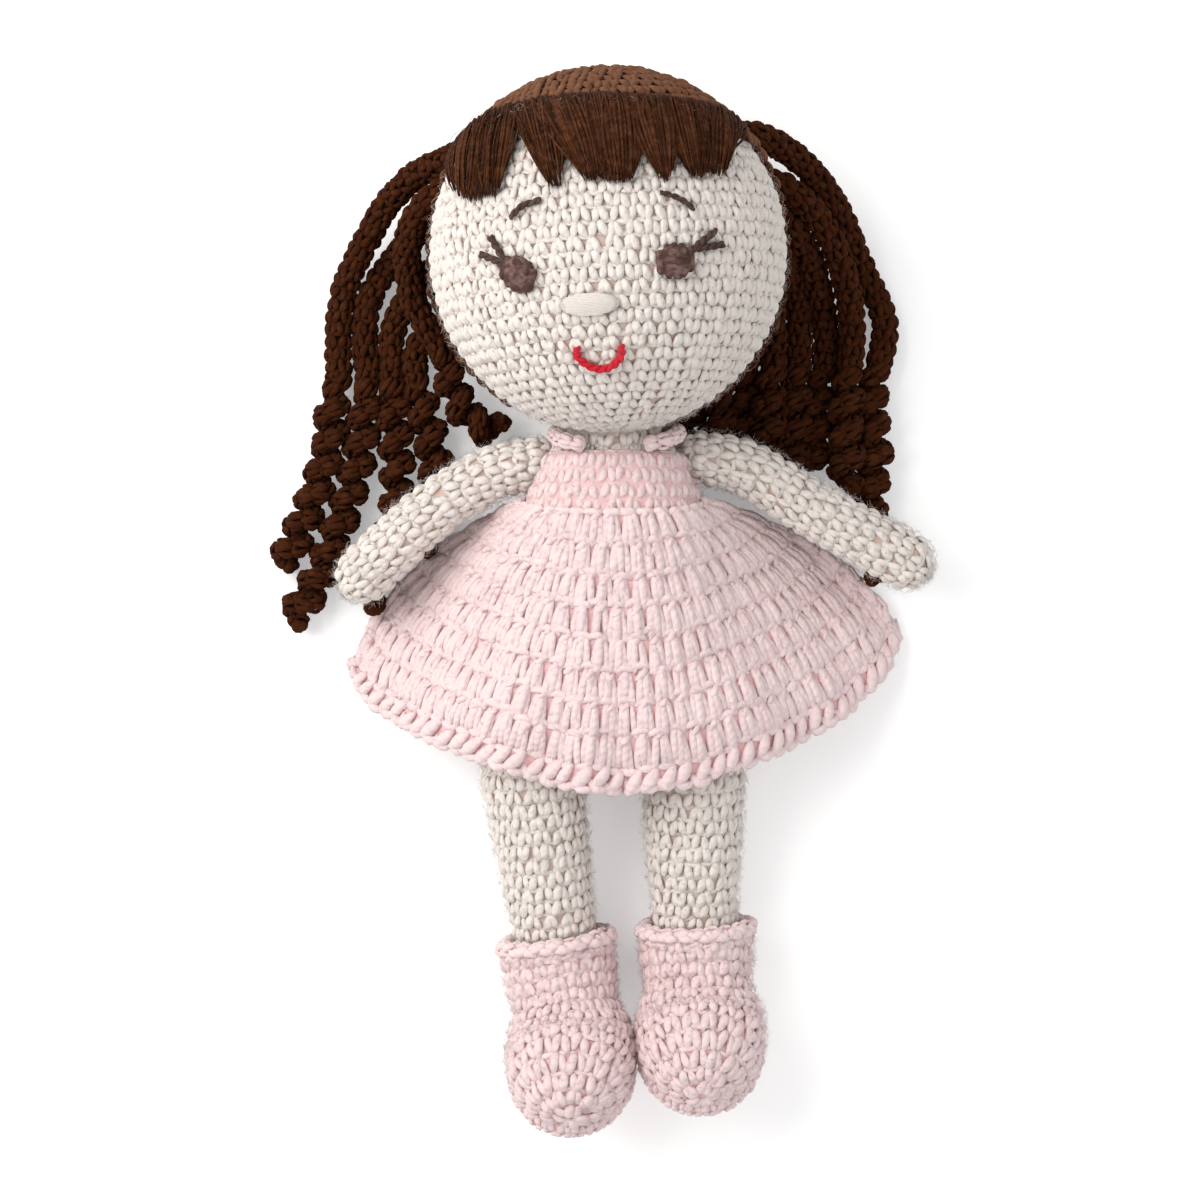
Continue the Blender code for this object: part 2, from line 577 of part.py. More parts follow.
def face_pad(name, at, half_width, half_height, depth, colour, lean=0.0):
    """A low oval pad that follows the head's ball."""
    centre = on_head(*at, HEAD_RADIUS + FACE_GAP)
    out = (centre - HEAD_CENTRE).normalized()
    across = Vector((0.0, 1.0, 0.0)).cross(out).normalized()
    up = out.cross(across)
    across, up = across * math.cos(lean) + up * math.sin(lean), up * math.cos(lean) - across * math.sin(lean)
    points = []
    rings, segments = 2, 14
    sheets = (HEAD_RADIUS + FACE_GAP, HEAD_RADIUS + FACE_GAP + depth)
    for level, radius in enumerate(sheets):
        points.append(HEAD_CENTRE + out * radius)
        for ring in range(1, rings + 1):
            share = ring / rings * (1.0 if level == 0 else PAD_TOP_SHARE)
            for i in range(segments):
                angle = math.tau * i / segments
                spot = centre + across * half_width * share * math.cos(angle)
                spot += up * half_height * share * math.sin(angle)
                rounding = depth * PAD_EDGE_SHARE * (ring == rings) * level
                points.append(HEAD_CENTRE + (spot - HEAD_CENTRE).normalized() * (radius - rounding))
    sheet = 1 + rings * segments
    faces = []
    for level in range(2):
        base = level * sheet
        for i in range(segments):
            j = (i + 1) % segments
            tri = (base, base + 1 + i, base + 1 + j)
            faces.append(tri if level else tri[::-1])
            for ring in range(rings - 1):
                a = base + 1 + ring * segments
                quad = (a + i, a + segments + i, a + segments + j, a + j)
                faces.append(quad if level else quad[::-1])
    rim = 1 + (rings - 1) * segments
    for i in range(segments):
        j = (i + 1) % segments
        faces.append((rim + i, rim + j, sheet + rim + j, sheet + rim + i))
    return mesh_object(name, points, faces, colour)


def face_yarn(name, line, diameter, colour):
    """A strand of yarn that lies on the head along a line."""
    radius = 0.5 * diameter
    points = [on_head(a, b, HEAD_RADIUS + FACE_GAP + radius) for a, b in line]
    smooth = smooth_line(points, FACE_YARN_STEP)
    return tube(name, smooth, [radius] * len(smooth), colour, 1)


def build_head():
    """The head: its skin, filling, cap and fringe."""
    shell = ball("head_shell", HEAD_CENTRE, [HEAD_RADIUS] * 3, HEAD_SEGMENTS, HEAD_RINGS, CREAM)
    inner = HEAD_RADIUS - KNIT_WALL
    segments, rings = HEAD_SEGMENTS - INNER_SEGMENTS_LESS, HEAD_RINGS - INNER_RINGS_LESS
    boolean(shell, ball("head_hollow_cut", HEAD_CENTRE, [inner] * 3, segments, rings))
    toward = (HEAD_CENTRE - NECK_PIVOT).normalized()
    bore_end = NECK_PIVOT + toward * (NECK_REACH + NECK_END_ROOM)
    bore = rod("neck_bore_cut", NECK_PIVOT - toward * NECK_RADIUS, bore_end, NECK_RADIUS + GAP)
    boolean(shell, bore)
    filling_radii = [inner - 2 * RIDING_GAP] * 3
    filling = ball("head_stuffing", HEAD_CENTRE, filling_radii, segments, rings, FIBRE)
    boolean(filling, bore)

    cap = ball("hair_cap", HEAD_CENTRE, [CAP_OUTER_RADIUS] * 3, HEAD_SEGMENTS, HEAD_RINGS, BROWN)
    boolean(cap, ball("cap_inside_cut", HEAD_CENTRE, [HEAD_RADIUS + GAP] * 3, HEAD_SEGMENTS, HEAD_RINGS))
    count = len(CAP_EDGE_SHARES)
    width = 2 * HEAD_RADIUS
    points = [HEAD_CENTRE + Vector((side * width, up * HEAD_RADIUS, out * HEAD_RADIUS))
              for side in (-1, 1) for up, out in CAP_EDGE_SHARES]
    faces = [tuple(range(count)), tuple(range(2 * count - 1, count - 1, -1))]
    faces += [(i, i + count, (i + 1) % count + count, (i + 1) % count) for i in range(count)]
    region_faces = faces
    region = mesh_object("cap_region_cut", points, region_faces, None, helper=True)
    boolean(cap, region, "INTERSECT")
    bore_radius = NECK_RADIUS + CAP_NECK_CLEARANCE
    boolean(cap, rod("cap_neck_cut", NECK_PIVOT - toward * NECK_RADIUS, bore_end, bore_radius))
    floor = block("floor_cut", (-FAR, -FAR, -FAR), (FAR, FAR, 0.0))
    boolean(cap, floor)

    points = []
    for level in (0, 1):
        for column in range(FRINGE_COLUMNS + 1):
            share = column / FRINGE_COLUMNS
            top = along(FRINGE_TOP_SHARES, share)
            low = along(FRINGE_LOW_SHARES, share)
            for row in range(FRINGE_ROWS + 1):
                part = row / FRINGE_ROWS
                a = top[0] + (low[0] - top[0]) * part
                b = top[1] + (low[1] - top[1]) * part
                spot = on_head(a, b, HEAD_RADIUS + FACE_GAP)
                out = (spot - HEAD_CENTRE).normalized()
                points.append(spot + out * FRINGE_THICKNESS * level)
    sheet = (FRINGE_COLUMNS + 1) * (FRINGE_ROWS + 1)
    tall = FRINGE_ROWS + 1
    faces = []
    for level in (0, 1):
        for column in range(FRINGE_COLUMNS):
            for row in range(FRINGE_ROWS):
                a = level * sheet + column * tall + row
                quad = (a, a + 1, a + tall + 1, a + tall)
                faces.append(quad if level else quad[::-1])
    edge = [column * tall for column in range(FRINGE_COLUMNS + 1)]
    edge += [FRINGE_COLUMNS * tall + row for row in range(1, tall)]
    edge += [column * tall + FRINGE_ROWS for column in range(FRINGE_COLUMNS - 1, -1, -1)]
    edge += [row for row in range(FRINGE_ROWS - 1, 0, -1)]
    for a, b in zip(edge, edge[1:] + edge[:1]):
        faces.append((a + sheet, b + sheet, b, a)[::-1])
    fringe = mesh_object("fringe", points, [f[::-1] for f in faces], BROWN)
    grown = [HEAD_CENTRE + Vector((side * width, up * HEAD_RADIUS - 2 * GAP, out * HEAD_RADIUS + 2 * GAP))
             for side in (-1, 1) for up, out in CAP_EDGE_SHARES]
    boolean(fringe, mesh_object("fringe_top_cut", grown, region_faces, None, helper=True))


def build_face():
    """The eyes, lashes, brows, nose and mouth."""
    eye_sizes = (EYE_HALF_WIDTH, EYE_HALF_HEIGHT, EYE_DEPTH)
    face_pad("eye_left", EYE_LEFT_SHARES, *eye_sizes, EYE_BROWN, EYE_LEFT_LEAN)
    face_pad("eye_right", EYE_RIGHT_SHARES, *eye_sizes, EYE_BROWN, EYE_RIGHT_LEAN)
    face_pad("nose", NOSE_SHARES, NOSE_HALF_WIDTH, NOSE_HALF_HEIGHT, NOSE_DEPTH, CREAM, NOSE_LEAN)
    face_yarn("mouth", MOUTH_SHARES, MOUTH_DIAMETER, RED)
    for name, line in (("brow_left", BROW_LEFT_SHARES), ("brow_right", BROW_RIGHT_SHARES),
                       ("lashes_left", LASH_LEFT_SHARES), ("lashes_right", LASH_RIGHT_SHARES)):
        face_yarn(name, line, YARN_DIAMETER, BROWN)


def body_section(y, rows=BODY_SECTIONS):
    """Height of the middle, half width and half depth of the body at y."""
    if y >= rows[0][0]:
        return rows[0][1:]
    for high, low in zip(rows, rows[1:]):
        if y >= low[0]:
            share = (high[0] - y) / (high[0] - low[0])
            return tuple(a + (b - a) * share for a, b in zip(high[1:], low[1:]))
    return rows[-1][1:]


def body_skin(name, shrink, colour=None):
    """The closed skin of the body, this much inside its own outline."""
    rows = BODY_SECTIONS
    top, bottom = rows[0], rows[-1]
    points = [Vector((BODY_MIDDLE_X, top[0] + BODY_TOP_DOME - shrink, top[1]))]
    for y, z, half_x, half_z in rows:
        y = max(min(y, top[0] - shrink), bottom[0] + shrink)
        for i in range(BODY_SEGMENTS):
            angle = math.tau * i / BODY_SEGMENTS
            x_out, z_out = (half_x - shrink) * math.cos(angle), (half_z - shrink) * math.sin(angle)
            points.append(Vector((BODY_MIDDLE_X + x_out, y, z + z_out)))
    points.append(Vector((BODY_MIDDLE_X, bottom[0] + shrink, bottom[1])))
    return mesh_object(name, points, rings_to_faces(len(rows), BODY_SEGMENTS), colour, helper=colour is None)


def arm_rooms_of(name, line, clearance):
    """Cutters for the arm's root: a ball round it, and the arm's first stretch as it lifts."""
    root = Vector(line[0][:3])
    rooms = [ball("arm_room_cut_" + name, root, [line[0][3] + clearance] * 3, ARM_ROOM_SEGMENTS,
                  ARM_ROOM_RINGS)]
    run = Vector(line[-1][:3]) - root
    axis = Vector((run.y, -run.x, 0.0)).normalized()
    for number, lift in enumerate(ARM_LIFTS):
        turned = Matrix.Rotation(lift, 3, axis)
        lifted = [(*(root + turned @ (Vector(p[:3]) - root)), p[3] + ARM_ROOM_CLEARANCE) for p in line[:3]]
        rooms.append(limb(f"arm_lift_cut_{name}_{number}", lifted, 0.0, ARM_LIFT_SEGMENTS, None,
                          ARM_LIFT_DOME_RINGS))
    return rooms


def build_body():
    """The body, its filling, the hips and the neck."""
    shell = body_skin("torso_shell", 0.0, CREAM)
    boolean(shell, body_skin("torso_hollow_cut", KNIT_WALL))
    filling = body_skin("torso_stuffing", KNIT_WALL + RIDING_GAP * 2, FIBRE)
    toward = (HEAD_CENTRE - NECK_PIVOT).normalized()
    neck_end = NECK_PIVOT + toward * NECK_REACH
    neck = limb("neck", [(*NECK_PIVOT, NECK_RADIUS), (*neck_end, NECK_RADIUS)], 0.0, NECK_SEGMENTS, CREAM)
    boolean(neck, rod("neck_end_cut", neck_end, neck_end + toward * 2 * NECK_RADIUS, 2 * NECK_RADIUS))
    beyond = NECK_PIVOT + toward * 2 * HEAD_RADIUS
    room_radius = NECK_RADIUS / math.cos(NECK_LEAN) + NECK_ROOM_CLEARANCE
    room_end_radius = room_radius + (beyond - NECK_PIVOT).length * math.tan(NECK_LEAN)
    neck_room = limb("neck_room_cut", [(*NECK_PIVOT, room_radius), (*beyond, room_end_radius)], 0.0,
                     NECK_ROOM_SEGMENTS)
    hip_ends = [HIP_AXIS - Vector((HIP_HALF_LENGTH, 0, 0)), HIP_AXIS + Vector((HIP_HALF_LENGTH, 0, 0))]
    hip_room = limb("hip_room_cut", [(*p, HIP_RADIUS + GAP) for p in hip_ends], 0.0, HIP_SEGMENTS, None, 6)
    arm_rooms = [room for side, line in (("left", ARM_LEFT_LINE), ("right", ARM_RIGHT_LINE))
                 for room in arm_rooms_of(side + "_body", line, ARM_ROOM_CLEARANCE)]
    for target in (shell, filling):
        for cutter in (neck_room, hip_room, *arm_rooms):
            boolean(target, cutter)
    limb("hips", [(*p, HIP_RADIUS) for p in hip_ends], 0.0, HIP_SEGMENTS, CREAM, 6)


def build_arm(side, line):
    """One arm: its shell, its filling and the filling of its root."""
    shell = limb("arm_" + side + "_shell", line, 0.0, ARM_SEGMENTS, CREAM)
    boolean(shell, limb("arm_" + side + "_hollow_cut", line, ARM_WALL, ARM_SEGMENTS - 2))
    root, next_point = Vector(line[0][:3]), Vector(line[1][:3])
    back = (root - next_point).normalized()
    boolean(shell, rod("arm_" + side + "_mouth_cut", root, root + back * 2 * line[0][3], ARM_ROOT_MOUTH,
                       ARM_MOUTH_SEGMENTS))
    fill_line = line[1:]
    filling = limb("arm_" + side + "_stuffing", fill_line, ARM_WALL + RIDING_GAP, ARM_SEGMENTS - 2, FIBRE)
    root_radius = line[0][3] - ARM_WALL - RIDING_GAP
    boolean(filling, ball("arm_" + side + "_root_room_cut", root, [root_radius + GAP] * 3, ARM_FILL_SEGMENTS,
                          ARM_FILL_RINGS))
    ball("arm_" + side + "_root_stuffing", root, [root_radius] * 3, ARM_FILL_SEGMENTS, ARM_FILL_RINGS, FIBRE)


def build_leg(side, line):
    """One leg: its shell and its filling."""
    shell = limb("leg_" + side + "_shell", line, 0.0, LEG_SEGMENTS, CREAM)
    boolean(shell, limb("leg_" + side + "_hollow_cut", line, KNIT_WALL, LEG_SEGMENTS - 2))
    filling = limb("leg_" + side + "_stuffing", line, KNIT_WALL + RIDING_GAP, LEG_SEGMENTS - 2, FIBRE)
    reach = Vector((HIP_HALF_LENGTH, 0, 0))
    hip_line = [(*(HIP_AXIS + away * reach), HIP_RADIUS + GAP) for away in (-2, 2)]
    hip_cut = limb("leg_" + side + "_hip_cut", hip_line, 0.0, HIP_SEGMENTS, None, 6)
    above = block("leg_" + side + "_above_cut", (-FAR, HIP_AXIS.y, -FAR), (FAR, FAR, FAR))
    for target in (shell, filling):
        boolean(target, hip_cut)
        boolean(target, above)


def foot_frame():
    """Columns: across, toward the toe, up out of the instep."""
    toe = Vector((0.0, -math.sin(FOOT_PITCH), math.cos(FOOT_PITCH)))
    instep = Vector((0.0, math.cos(FOOT_PITCH), math.sin(FOOT_PITCH)))
    turned = Matrix(((1.0, toe.x, instep.x), (0.0, toe.y, instep.y), (0.0, toe.z, instep.z)))
    return turned @ Matrix.Diagonal((-1.0, 1.0, 1.0))


def build_boot(side, line, cuff_y, sole_at):
    """One boot: upper, cuff, sole and toe filling."""
    name = "boot_" + side
    frame = foot_frame()
    instep = frame @ Vector((0, 0, 1))
    end = Vector(line[-1][:3])
    before = Vector(line[-3][:3])
    direction = (end - before).normalized()
    cuff_at = end + direction * ((cuff_y - end.y) / direction.y)
    shaft_start = cuff_at + direction * (CUFF_HEIGHT + GAP)
    foot_at = sole_at + instep * FOOT_MIDDLE_ABOVE_SOLE
    foot_radii = (FOOT_HALF_WIDTH, FOOT_HALF_LENGTH, FOOT_HALF_HEIGHT)
    upper = ball(name + "_upper", foot_at, foot_radii, FOOT_SEGMENTS, FOOT_RINGS, PINK, frame)
    shaft = limb(name + "_shaft_cut", [(*(shaft_start - direction * BOOT_SHAFT_RADIUS), BOOT_SHAFT_RADIUS),
                                       (*end, BOOT_SHAFT_RADIUS)], 0.0, BOOT_SHAFT_SEGMENTS)
    boolean(upper, shaft, "UNION")
    trim_start = shaft_start - direction * 3 * BOOT_SHAFT_RADIUS
    boolean(upper, rod(name + "_trim_cut", trim_start, shaft_start, 2 * BOOT_SHAFT_RADIUS))
    bore_line = [(*(cuff_at - direction * 2 * BOOT_BORE_RADIUS), BOOT_BORE_RADIUS),
                 (*(cuff_at + direction * CUFF_HEIGHT), BOOT_BORE_RADIUS),
                 (*end, line[-1][3] + BOOT_BORE_END_CLEARANCE)]
    bore = limb(name + "_bore_cut", bore_line, 0.0, BOOT_BORE_SEGMENTS)
    sole_top = sole_at + instep * (SOLE_THICKNESS + GAP)
    half = 2 * FOOT_HALF_LENGTH
    under_low, under_high = sole_top + Vector((-half, -half, -2 * half)), sole_top + Vector((half, half, 0.0))
    under = block(name + "_under_cut", under_low, under_high, frame, sole_top)
    toe = frame @ Vector((0, 1, 0))
    fill_at = foot_at + toe * TOE_FILL_SHIFT
    length_left = FOOT_HALF_LENGTH - TOE_FILL_WALL - TOE_FILL_SHIFT
    radii = (FOOT_HALF_WIDTH - TOE_FILL_WALL, length_left, FOOT_HALF_HEIGHT - TOE_FILL_WALL)
    boolean(upper, bore)
    boolean(upper, ball(name + "_toe_cut", fill_at, radii, TOE_FILL_SEGMENTS, TOE_FILL_RINGS, None,
                        frame))
    boolean(upper, under)
    floor = bpy.data.objects["floor_cut"]
    boolean(upper, floor)
    filling = ball(name + "_stuffing", fill_at, [r - RIDING_GAP for r in radii], TOE_FILL_SEGMENTS,
                   TOE_FILL_RINGS, FIBRE, frame)
    boolean(filling, bore)
    boolean(filling, under)

    points = [sole_at, sole_at + instep * SOLE_THICKNESS]
    segments = 28
    for level in (0.0, SOLE_THICKNESS):
        for i in range(segments):
            angle = math.tau * i / segments
            local = Vector((SOLE_HALF_WIDTH * math.cos(angle), SOLE_HALF_LENGTH * math.sin(angle), level))
            points.append(sole_at + frame @ local)
    faces = []
    for i in range(segments):
        j = (i + 1) % segments
        low, high = 2, 2 + segments
        faces += [(0, low + j, low + i), (1, high + i, high + j), (low + i, low + j, high + j, high + i)]
    sole = mesh_object(name + "_sole", points, faces, PINK)
    boolean(sole, floor)

    cuff = rod(name + "_cuff", cuff_at, cuff_at + direction * CUFF_HEIGHT, CUFF_OUTER_RADIUS, 22)
    cuff.hide_render = False
    cuff.display_type = "TEXTURED"
    cuff.data.materials.append(material(name + "_cuff", PINK))
    boolean(cuff, bore)
    boolean(cuff, floor)


def side_x(line, y):
    """Where the skirt's side fold lies at y."""
    rows = sorted(line, key=lambda p: -p[1])
    if y >= rows[0][1]:
        return rows[0][0]
    for high, low in zip(rows, rows[1:]):
        if y >= low[1]:
            share = (high[1] - y) / max(high[1] - low[1], 1e-9)
            return high[0] + (low[0] - high[0]) * share
    return rows[-1][0]


def drape_height(x, y):
    """How high taut cloth lies at x, y: over the body or the legs, then straight down to the side fold."""
    middle, half_x, half_z = body_section(y, BODY_SECTIONS + LOWER_SECTIONS)
    half_x += 2 * GAP + RIDING_GAP
    half_z += 2 * GAP + RIDING_GAP
    side = side_x(SIDE_LEFT_LINE if x < BODY_MIDDLE_X else SIDE_RIGHT_LINE, y)
    reach = abs(side - BODY_MIDDLE_X)
    rise = min(max((y - SIDE_FOLD_RISE_FROM) / SIDE_FOLD_RISE_LENGTH, 0.0), 1.0)
    fold = SIDE_FOLD_HEIGHT + (SIDE_FOLD_TOP_HEIGHT - SIDE_FOLD_HEIGHT) * rise
    away = abs(x - BODY_MIDDLE_X)
    a, b = reach / half_x, (fold - middle) / half_z
    size = math.hypot(a, b)
    if size <= 1.0:
        return middle + half_z * math.sqrt(max(1 - (away / half_x) ** 2, 0.0))
    touch = math.atan2(b, a) + math.acos(1 / size)
    touch_x, touch_z = half_x * math.cos(touch), middle + half_z * math.sin(touch)
    if away <= touch_x:
        return middle + half_z * math.sqrt(max(1 - (away / half_x) ** 2, 0.0))
    share = min((away - touch_x) / max(reach - touch_x, 1e-9), 1.0)
    return touch_z + (fold - touch_z) * share


def back_height(x, y):
    """Height of the back layer's inner side: behind the body, down onto the table."""
    middle, half_x, half_z = body_section(y)
    grown_x, grown_z = half_x + 2 * GAP + RIDING_GAP, half_z + 2 * GAP + RIDING_GAP
    away = min(abs(x - BODY_MIDDLE_X) / grown_x, 1.0)
    behind = middle - grown_z * math.sqrt(1 - away ** 2)
    table = SKIRT_FLOOR + DRESS_THICKNESS
    rise = min(max((y - SIDE_FOLD_RISE_FROM) / SIDE_FOLD_RISE_LENGTH, 0.0), 1.0)
    fold = SIDE_FOLD_HEIGHT + (SIDE_FOLD_TOP_HEIGHT - SIDE_FOLD_HEIGHT) * rise
    return max(table, min(behind, fold) if y > 0.0 else table)


def skirt_rings(thickness, start, end, levels):
    """Loops of the skirt from share start to share end of its length, each pushed out by thickness."""
    loops = []
    count = SKIRT_SEGMENTS
    for level in range(levels + 1):
        t = start + (end - start) * level / levels
        loop = []
        for i in range(count + 1):
            share = i / count
            turn = math.pi * (share - 0.5)
            half_x = body_section(SKIRT_TOP_FRONT.y)[1] + 2 * GAP + RIDING_GAP
            top_y = SKIRT_TOP_FRONT.y - SKIRT_TOP_SAG * math.cos(turn)
            top = Vector((BODY_MIDDLE_X + half_x * math.sin(turn), top_y, 0.0))
            hem = Vector((*along(HEM_LINE, share), 0.0))
            bulge_reach = SIDE_BULGE * abs(math.sin(turn)) ** 3 * 4 * t * (1 - t)
            bulge = Vector((math.sin(turn), SIDE_BULGE_RISE, 0.0)) * bulge_reach
            spot = top.lerp(hem, t) + bulge
            wave = HEM_WAVE * t * t * math.cos(math.tau * HEM_WAVES * share)
            loop.append((spot, turn, wave))
        front = []
        back = []
        for spot, turn, wave in loop:
            out = Vector((math.sin(turn), 0.0, math.cos(turn)))
            z = drape_height(spot.x, spot.y) + wave * abs(math.cos(turn))
            front.append(Vector((spot.x, spot.y, z)) + out * thickness)
        for spot, turn, wave in loop[1:-1]:
            z = back_height(spot.x, spot.y)
            z = min(z, drape_height(spot.x, spot.y) - GAP)
            back.append(Vector((spot.x, spot.y, z - thickness * min(1.0, 3 * math.cos(turn)))))
        loops.append(front + back[::-1])
    return loops


def skirt_skin(name, start, end, levels, colour):
    """A closed piece of the skirt between two shares of its length."""
    inner = skirt_rings(0.0, start, end, levels)
    outer = skirt_rings(DRESS_THICKNESS, start, end, levels)
    around = len(inner[0])
    points = [p for loop in inner for p in loop] + [p for loop in outer for p in loop]
    sheet = around * (levels + 1)
    faces = []
    for level in range(levels):
        for i in range(around):
            j = (i + 1) % around
            a = level * around
            b = a + around
            faces.append((a + i, a + j, b + j, b + i))
            faces.append((sheet + a + i, sheet + b + i, sheet + b + j, sheet + a + j))
    last = levels * around
    for i in range(around):
        j = (i + 1) % around
        faces.append((i, sheet + i, sheet + j, j))
        faces.append((last + i, last + j, sheet + last + j, sheet + last + i))
    made = mesh_object(name, points, faces, colour)
    return made


def build_dress():
    """The dress: yoke, neck strap, skirt and its pale hem."""
    share_of_band = 1 - HEM_BAND / SKIRT_LENGTH
    skirt_skin("skirt", 0.0, share_of_band, SKIRT_LEVELS, PINK)
    skirt_skin("skirt_hem", share_of_band + HEM_GAP_SHARE, 1.0, 1, PINK)

    levels = YOKE_LEVELS
    points = []
    for thickness in (0.0, DRESS_THICKNESS):
        for level in range(levels + 1):
            y = YOKE_BOTTOM_Y + GAP + (YOKE_TOP_Y - YOKE_BOTTOM_Y) * level / levels
            z, half_x, half_z = body_section(y)
            for i in range(BODY_SEGMENTS):
                angle = math.tau * i / BODY_SEGMENTS
                grow = 2 * GAP + RIDING_GAP + thickness
                lean = -SKIRT_TOP_SAG * max(math.sin(angle), 0.0) * (1 - level / levels)
                x_out, z_out = (half_x + grow) * math.cos(angle), (half_z + grow) * math.sin(angle)
                points.append(Vector((BODY_MIDDLE_X + x_out, y + lean, z + z_out)))
    around = BODY_SEGMENTS
    sheet = around * (levels + 1)
    faces = []
    for level in range(levels):
        for i in range(around):
            j = (i + 1) % around
            a = level * around
            b = a + around
            faces.append((a + i, b + i, b + j, a + j)[::-1])
            faces.append((sheet + a + i, sheet + b + i, sheet + b + j, sheet + a + j))
    last = levels * around
    for i in range(around):
        j = (i + 1) % around
        faces.append((i, sheet + i, sheet + j, j))
        faces.append((last + i, last + j, sheet + last + j, sheet + last + i))
    yoke = mesh_object("dress_yoke", points, faces, PINK)
    for side, line in (("left", ARM_LEFT_LINE), ("right", ARM_RIGHT_LINE)):
        for room in arm_rooms_of(side + "_yoke", line, YOKE_ARM_CLEARANCE):
            boolean(yoke, room)
    strap = smooth_line(STRAP_LINE, STRAP_STEP)
    tube("neck_strap", strap, [0.5 * STRAP_WIDTH] * len(strap), PINK, 2)


def main():
    """Clear the scene and build every piece."""
    for existing in list(bpy.data.objects):
        bpy.data.objects.remove(existing)
    build_head()
    build_face()
    build_body()
    build_arm("left", ARM_LEFT_LINE)
    build_arm("right", ARM_RIGHT_LINE)
    build_leg("left", LEG_LEFT_LINE)
    build_leg("right", LEG_RIGHT_LINE)
    build_boot("left", LEG_LEFT_LINE, BOOT_LEFT_CUFF_Y, BOOT_LEFT_SOLE)
    build_boot("right", LEG_RIGHT_LINE, BOOT_RIGHT_CUFF_Y, BOOT_RIGHT_SOLE)
    build_dress()
    for name, (route, curl_from) in HAIR_ROUTES.items():
        hair_strand(name, route, curl_from)


main()
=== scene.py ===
"""Looks of a crocheted doll that lies on its back: worked yarn over every stuffed form, in the part's own frame."""

import logging
import math
from dataclasses import dataclass
from enum import Enum
from typing import Callable, Sequence

import bpy
import numpy as np
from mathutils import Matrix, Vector

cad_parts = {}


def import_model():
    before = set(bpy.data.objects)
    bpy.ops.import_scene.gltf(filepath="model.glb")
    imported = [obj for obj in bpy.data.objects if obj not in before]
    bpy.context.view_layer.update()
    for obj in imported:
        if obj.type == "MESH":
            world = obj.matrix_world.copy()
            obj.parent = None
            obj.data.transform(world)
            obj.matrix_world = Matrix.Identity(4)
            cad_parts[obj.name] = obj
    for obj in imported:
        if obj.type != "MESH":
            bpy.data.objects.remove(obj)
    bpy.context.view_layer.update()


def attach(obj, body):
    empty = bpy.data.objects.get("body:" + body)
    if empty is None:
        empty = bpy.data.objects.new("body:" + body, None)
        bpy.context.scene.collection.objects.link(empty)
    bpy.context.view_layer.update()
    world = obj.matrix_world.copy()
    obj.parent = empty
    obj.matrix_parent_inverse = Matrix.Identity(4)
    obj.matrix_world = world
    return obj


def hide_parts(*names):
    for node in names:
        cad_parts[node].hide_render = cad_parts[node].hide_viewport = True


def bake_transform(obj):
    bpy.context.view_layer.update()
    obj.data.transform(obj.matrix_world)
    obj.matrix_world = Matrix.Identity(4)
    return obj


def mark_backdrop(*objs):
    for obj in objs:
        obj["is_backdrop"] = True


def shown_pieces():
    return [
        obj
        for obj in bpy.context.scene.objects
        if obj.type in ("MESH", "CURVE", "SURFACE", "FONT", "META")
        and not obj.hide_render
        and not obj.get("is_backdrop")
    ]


Array = np.ndarray
Point = tuple[float, float, float]
Rows = Sequence[Sequence[float]]
LOG = logging.getLogger("doll")
MM = 0.001
TENTH = 0.0001
TAU = 2 * math.pi
DOME_RINGS = 8
TABLE_GAP = 0.0001


class Body(Enum):
    """The bodies that pieces ride on."""

    TORSO = "torso"
    NECK = "neck"
    HEAD = "head"
    ARM_LEFT = "arm_left"
    ARM_RIGHT = "arm_right"
    LEGS = "legs"
    BOOT_LEFT = "boot_left"
    BOOT_RIGHT = "boot_right"


class Slot(Enum):
    """The record's materials."""

    CREAM = "cream_yarn"
    BROWN = "brown_yarn"
    DARK_BROWN = "dark_brown_yarn"
    PINK = "pink_yarn"
    RED = "red_yarn"
    FIBRE = "fibre"


# Shapes.


def tenths(rows: Rows) -> Array:
    """Metres from rows of tenths of a millimetre."""
    return np.array(rows, float) * TENTH


def unit(vectors: Array) -> Array:
    """Vectors of length one along the last axis."""
    return vectors / np.maximum(np.linalg.norm(vectors, axis=-1, keepdims=True), 1e-12)


def travelled(points: Array) -> Array:
    """How far along the line each of its points lies, the first at zero."""
    return np.concatenate([[0], np.cumsum(np.linalg.norm(np.diff(points, axis=0), axis=1))])


def cubic(ends: Array, i: Array, t: Array) -> Array:
    """The smooth curve through four neighbours from i on, read at the share t between the middle two."""
    a, b, c, d = (ends[i + step] for step in range(4))
    return 0.5 * (2 * b + (c - a) * t + (2 * a - 5 * b + 4 * c - d) * t**2 + (3 * b - a - 3 * c + d) * t**3)


def with_ends(points: Array) -> Array:
    """The points with one more at either end, straight on."""
    return np.vstack([2 * points[0] - points[1], points, 2 * points[-1] - points[-2]])


def smooth_line(points: Rows, count: int) -> Array:
    """A smooth curve through the points: cubic pieces, read again at even steps along their length.

    Args:
        points: the rows that the curve passes through. The first three values give its length.
        count: how many rows to read.

    Returns:
        The rows along the curve.
    """
    p = np.asarray(points, float)
    if len(p) == 2:
        return p[0] + (p[1] - p[0]) * np.linspace(0, 1, count)[:, None]
    t = np.linspace(0, 1, 17)[:-1]
    dense = cubic(with_ends(p), np.repeat(np.arange(len(p) - 1), len(t)), np.tile(t, len(p) - 1)[:, None])
    dense = np.vstack([dense, p[-1]])
    gone = travelled(dense[:, :3])
    at = np.linspace(0, gone[-1], count)
    return np.stack([np.interp(at, gone, dense[:, i]) for i in range(p.shape[1])], axis=1)


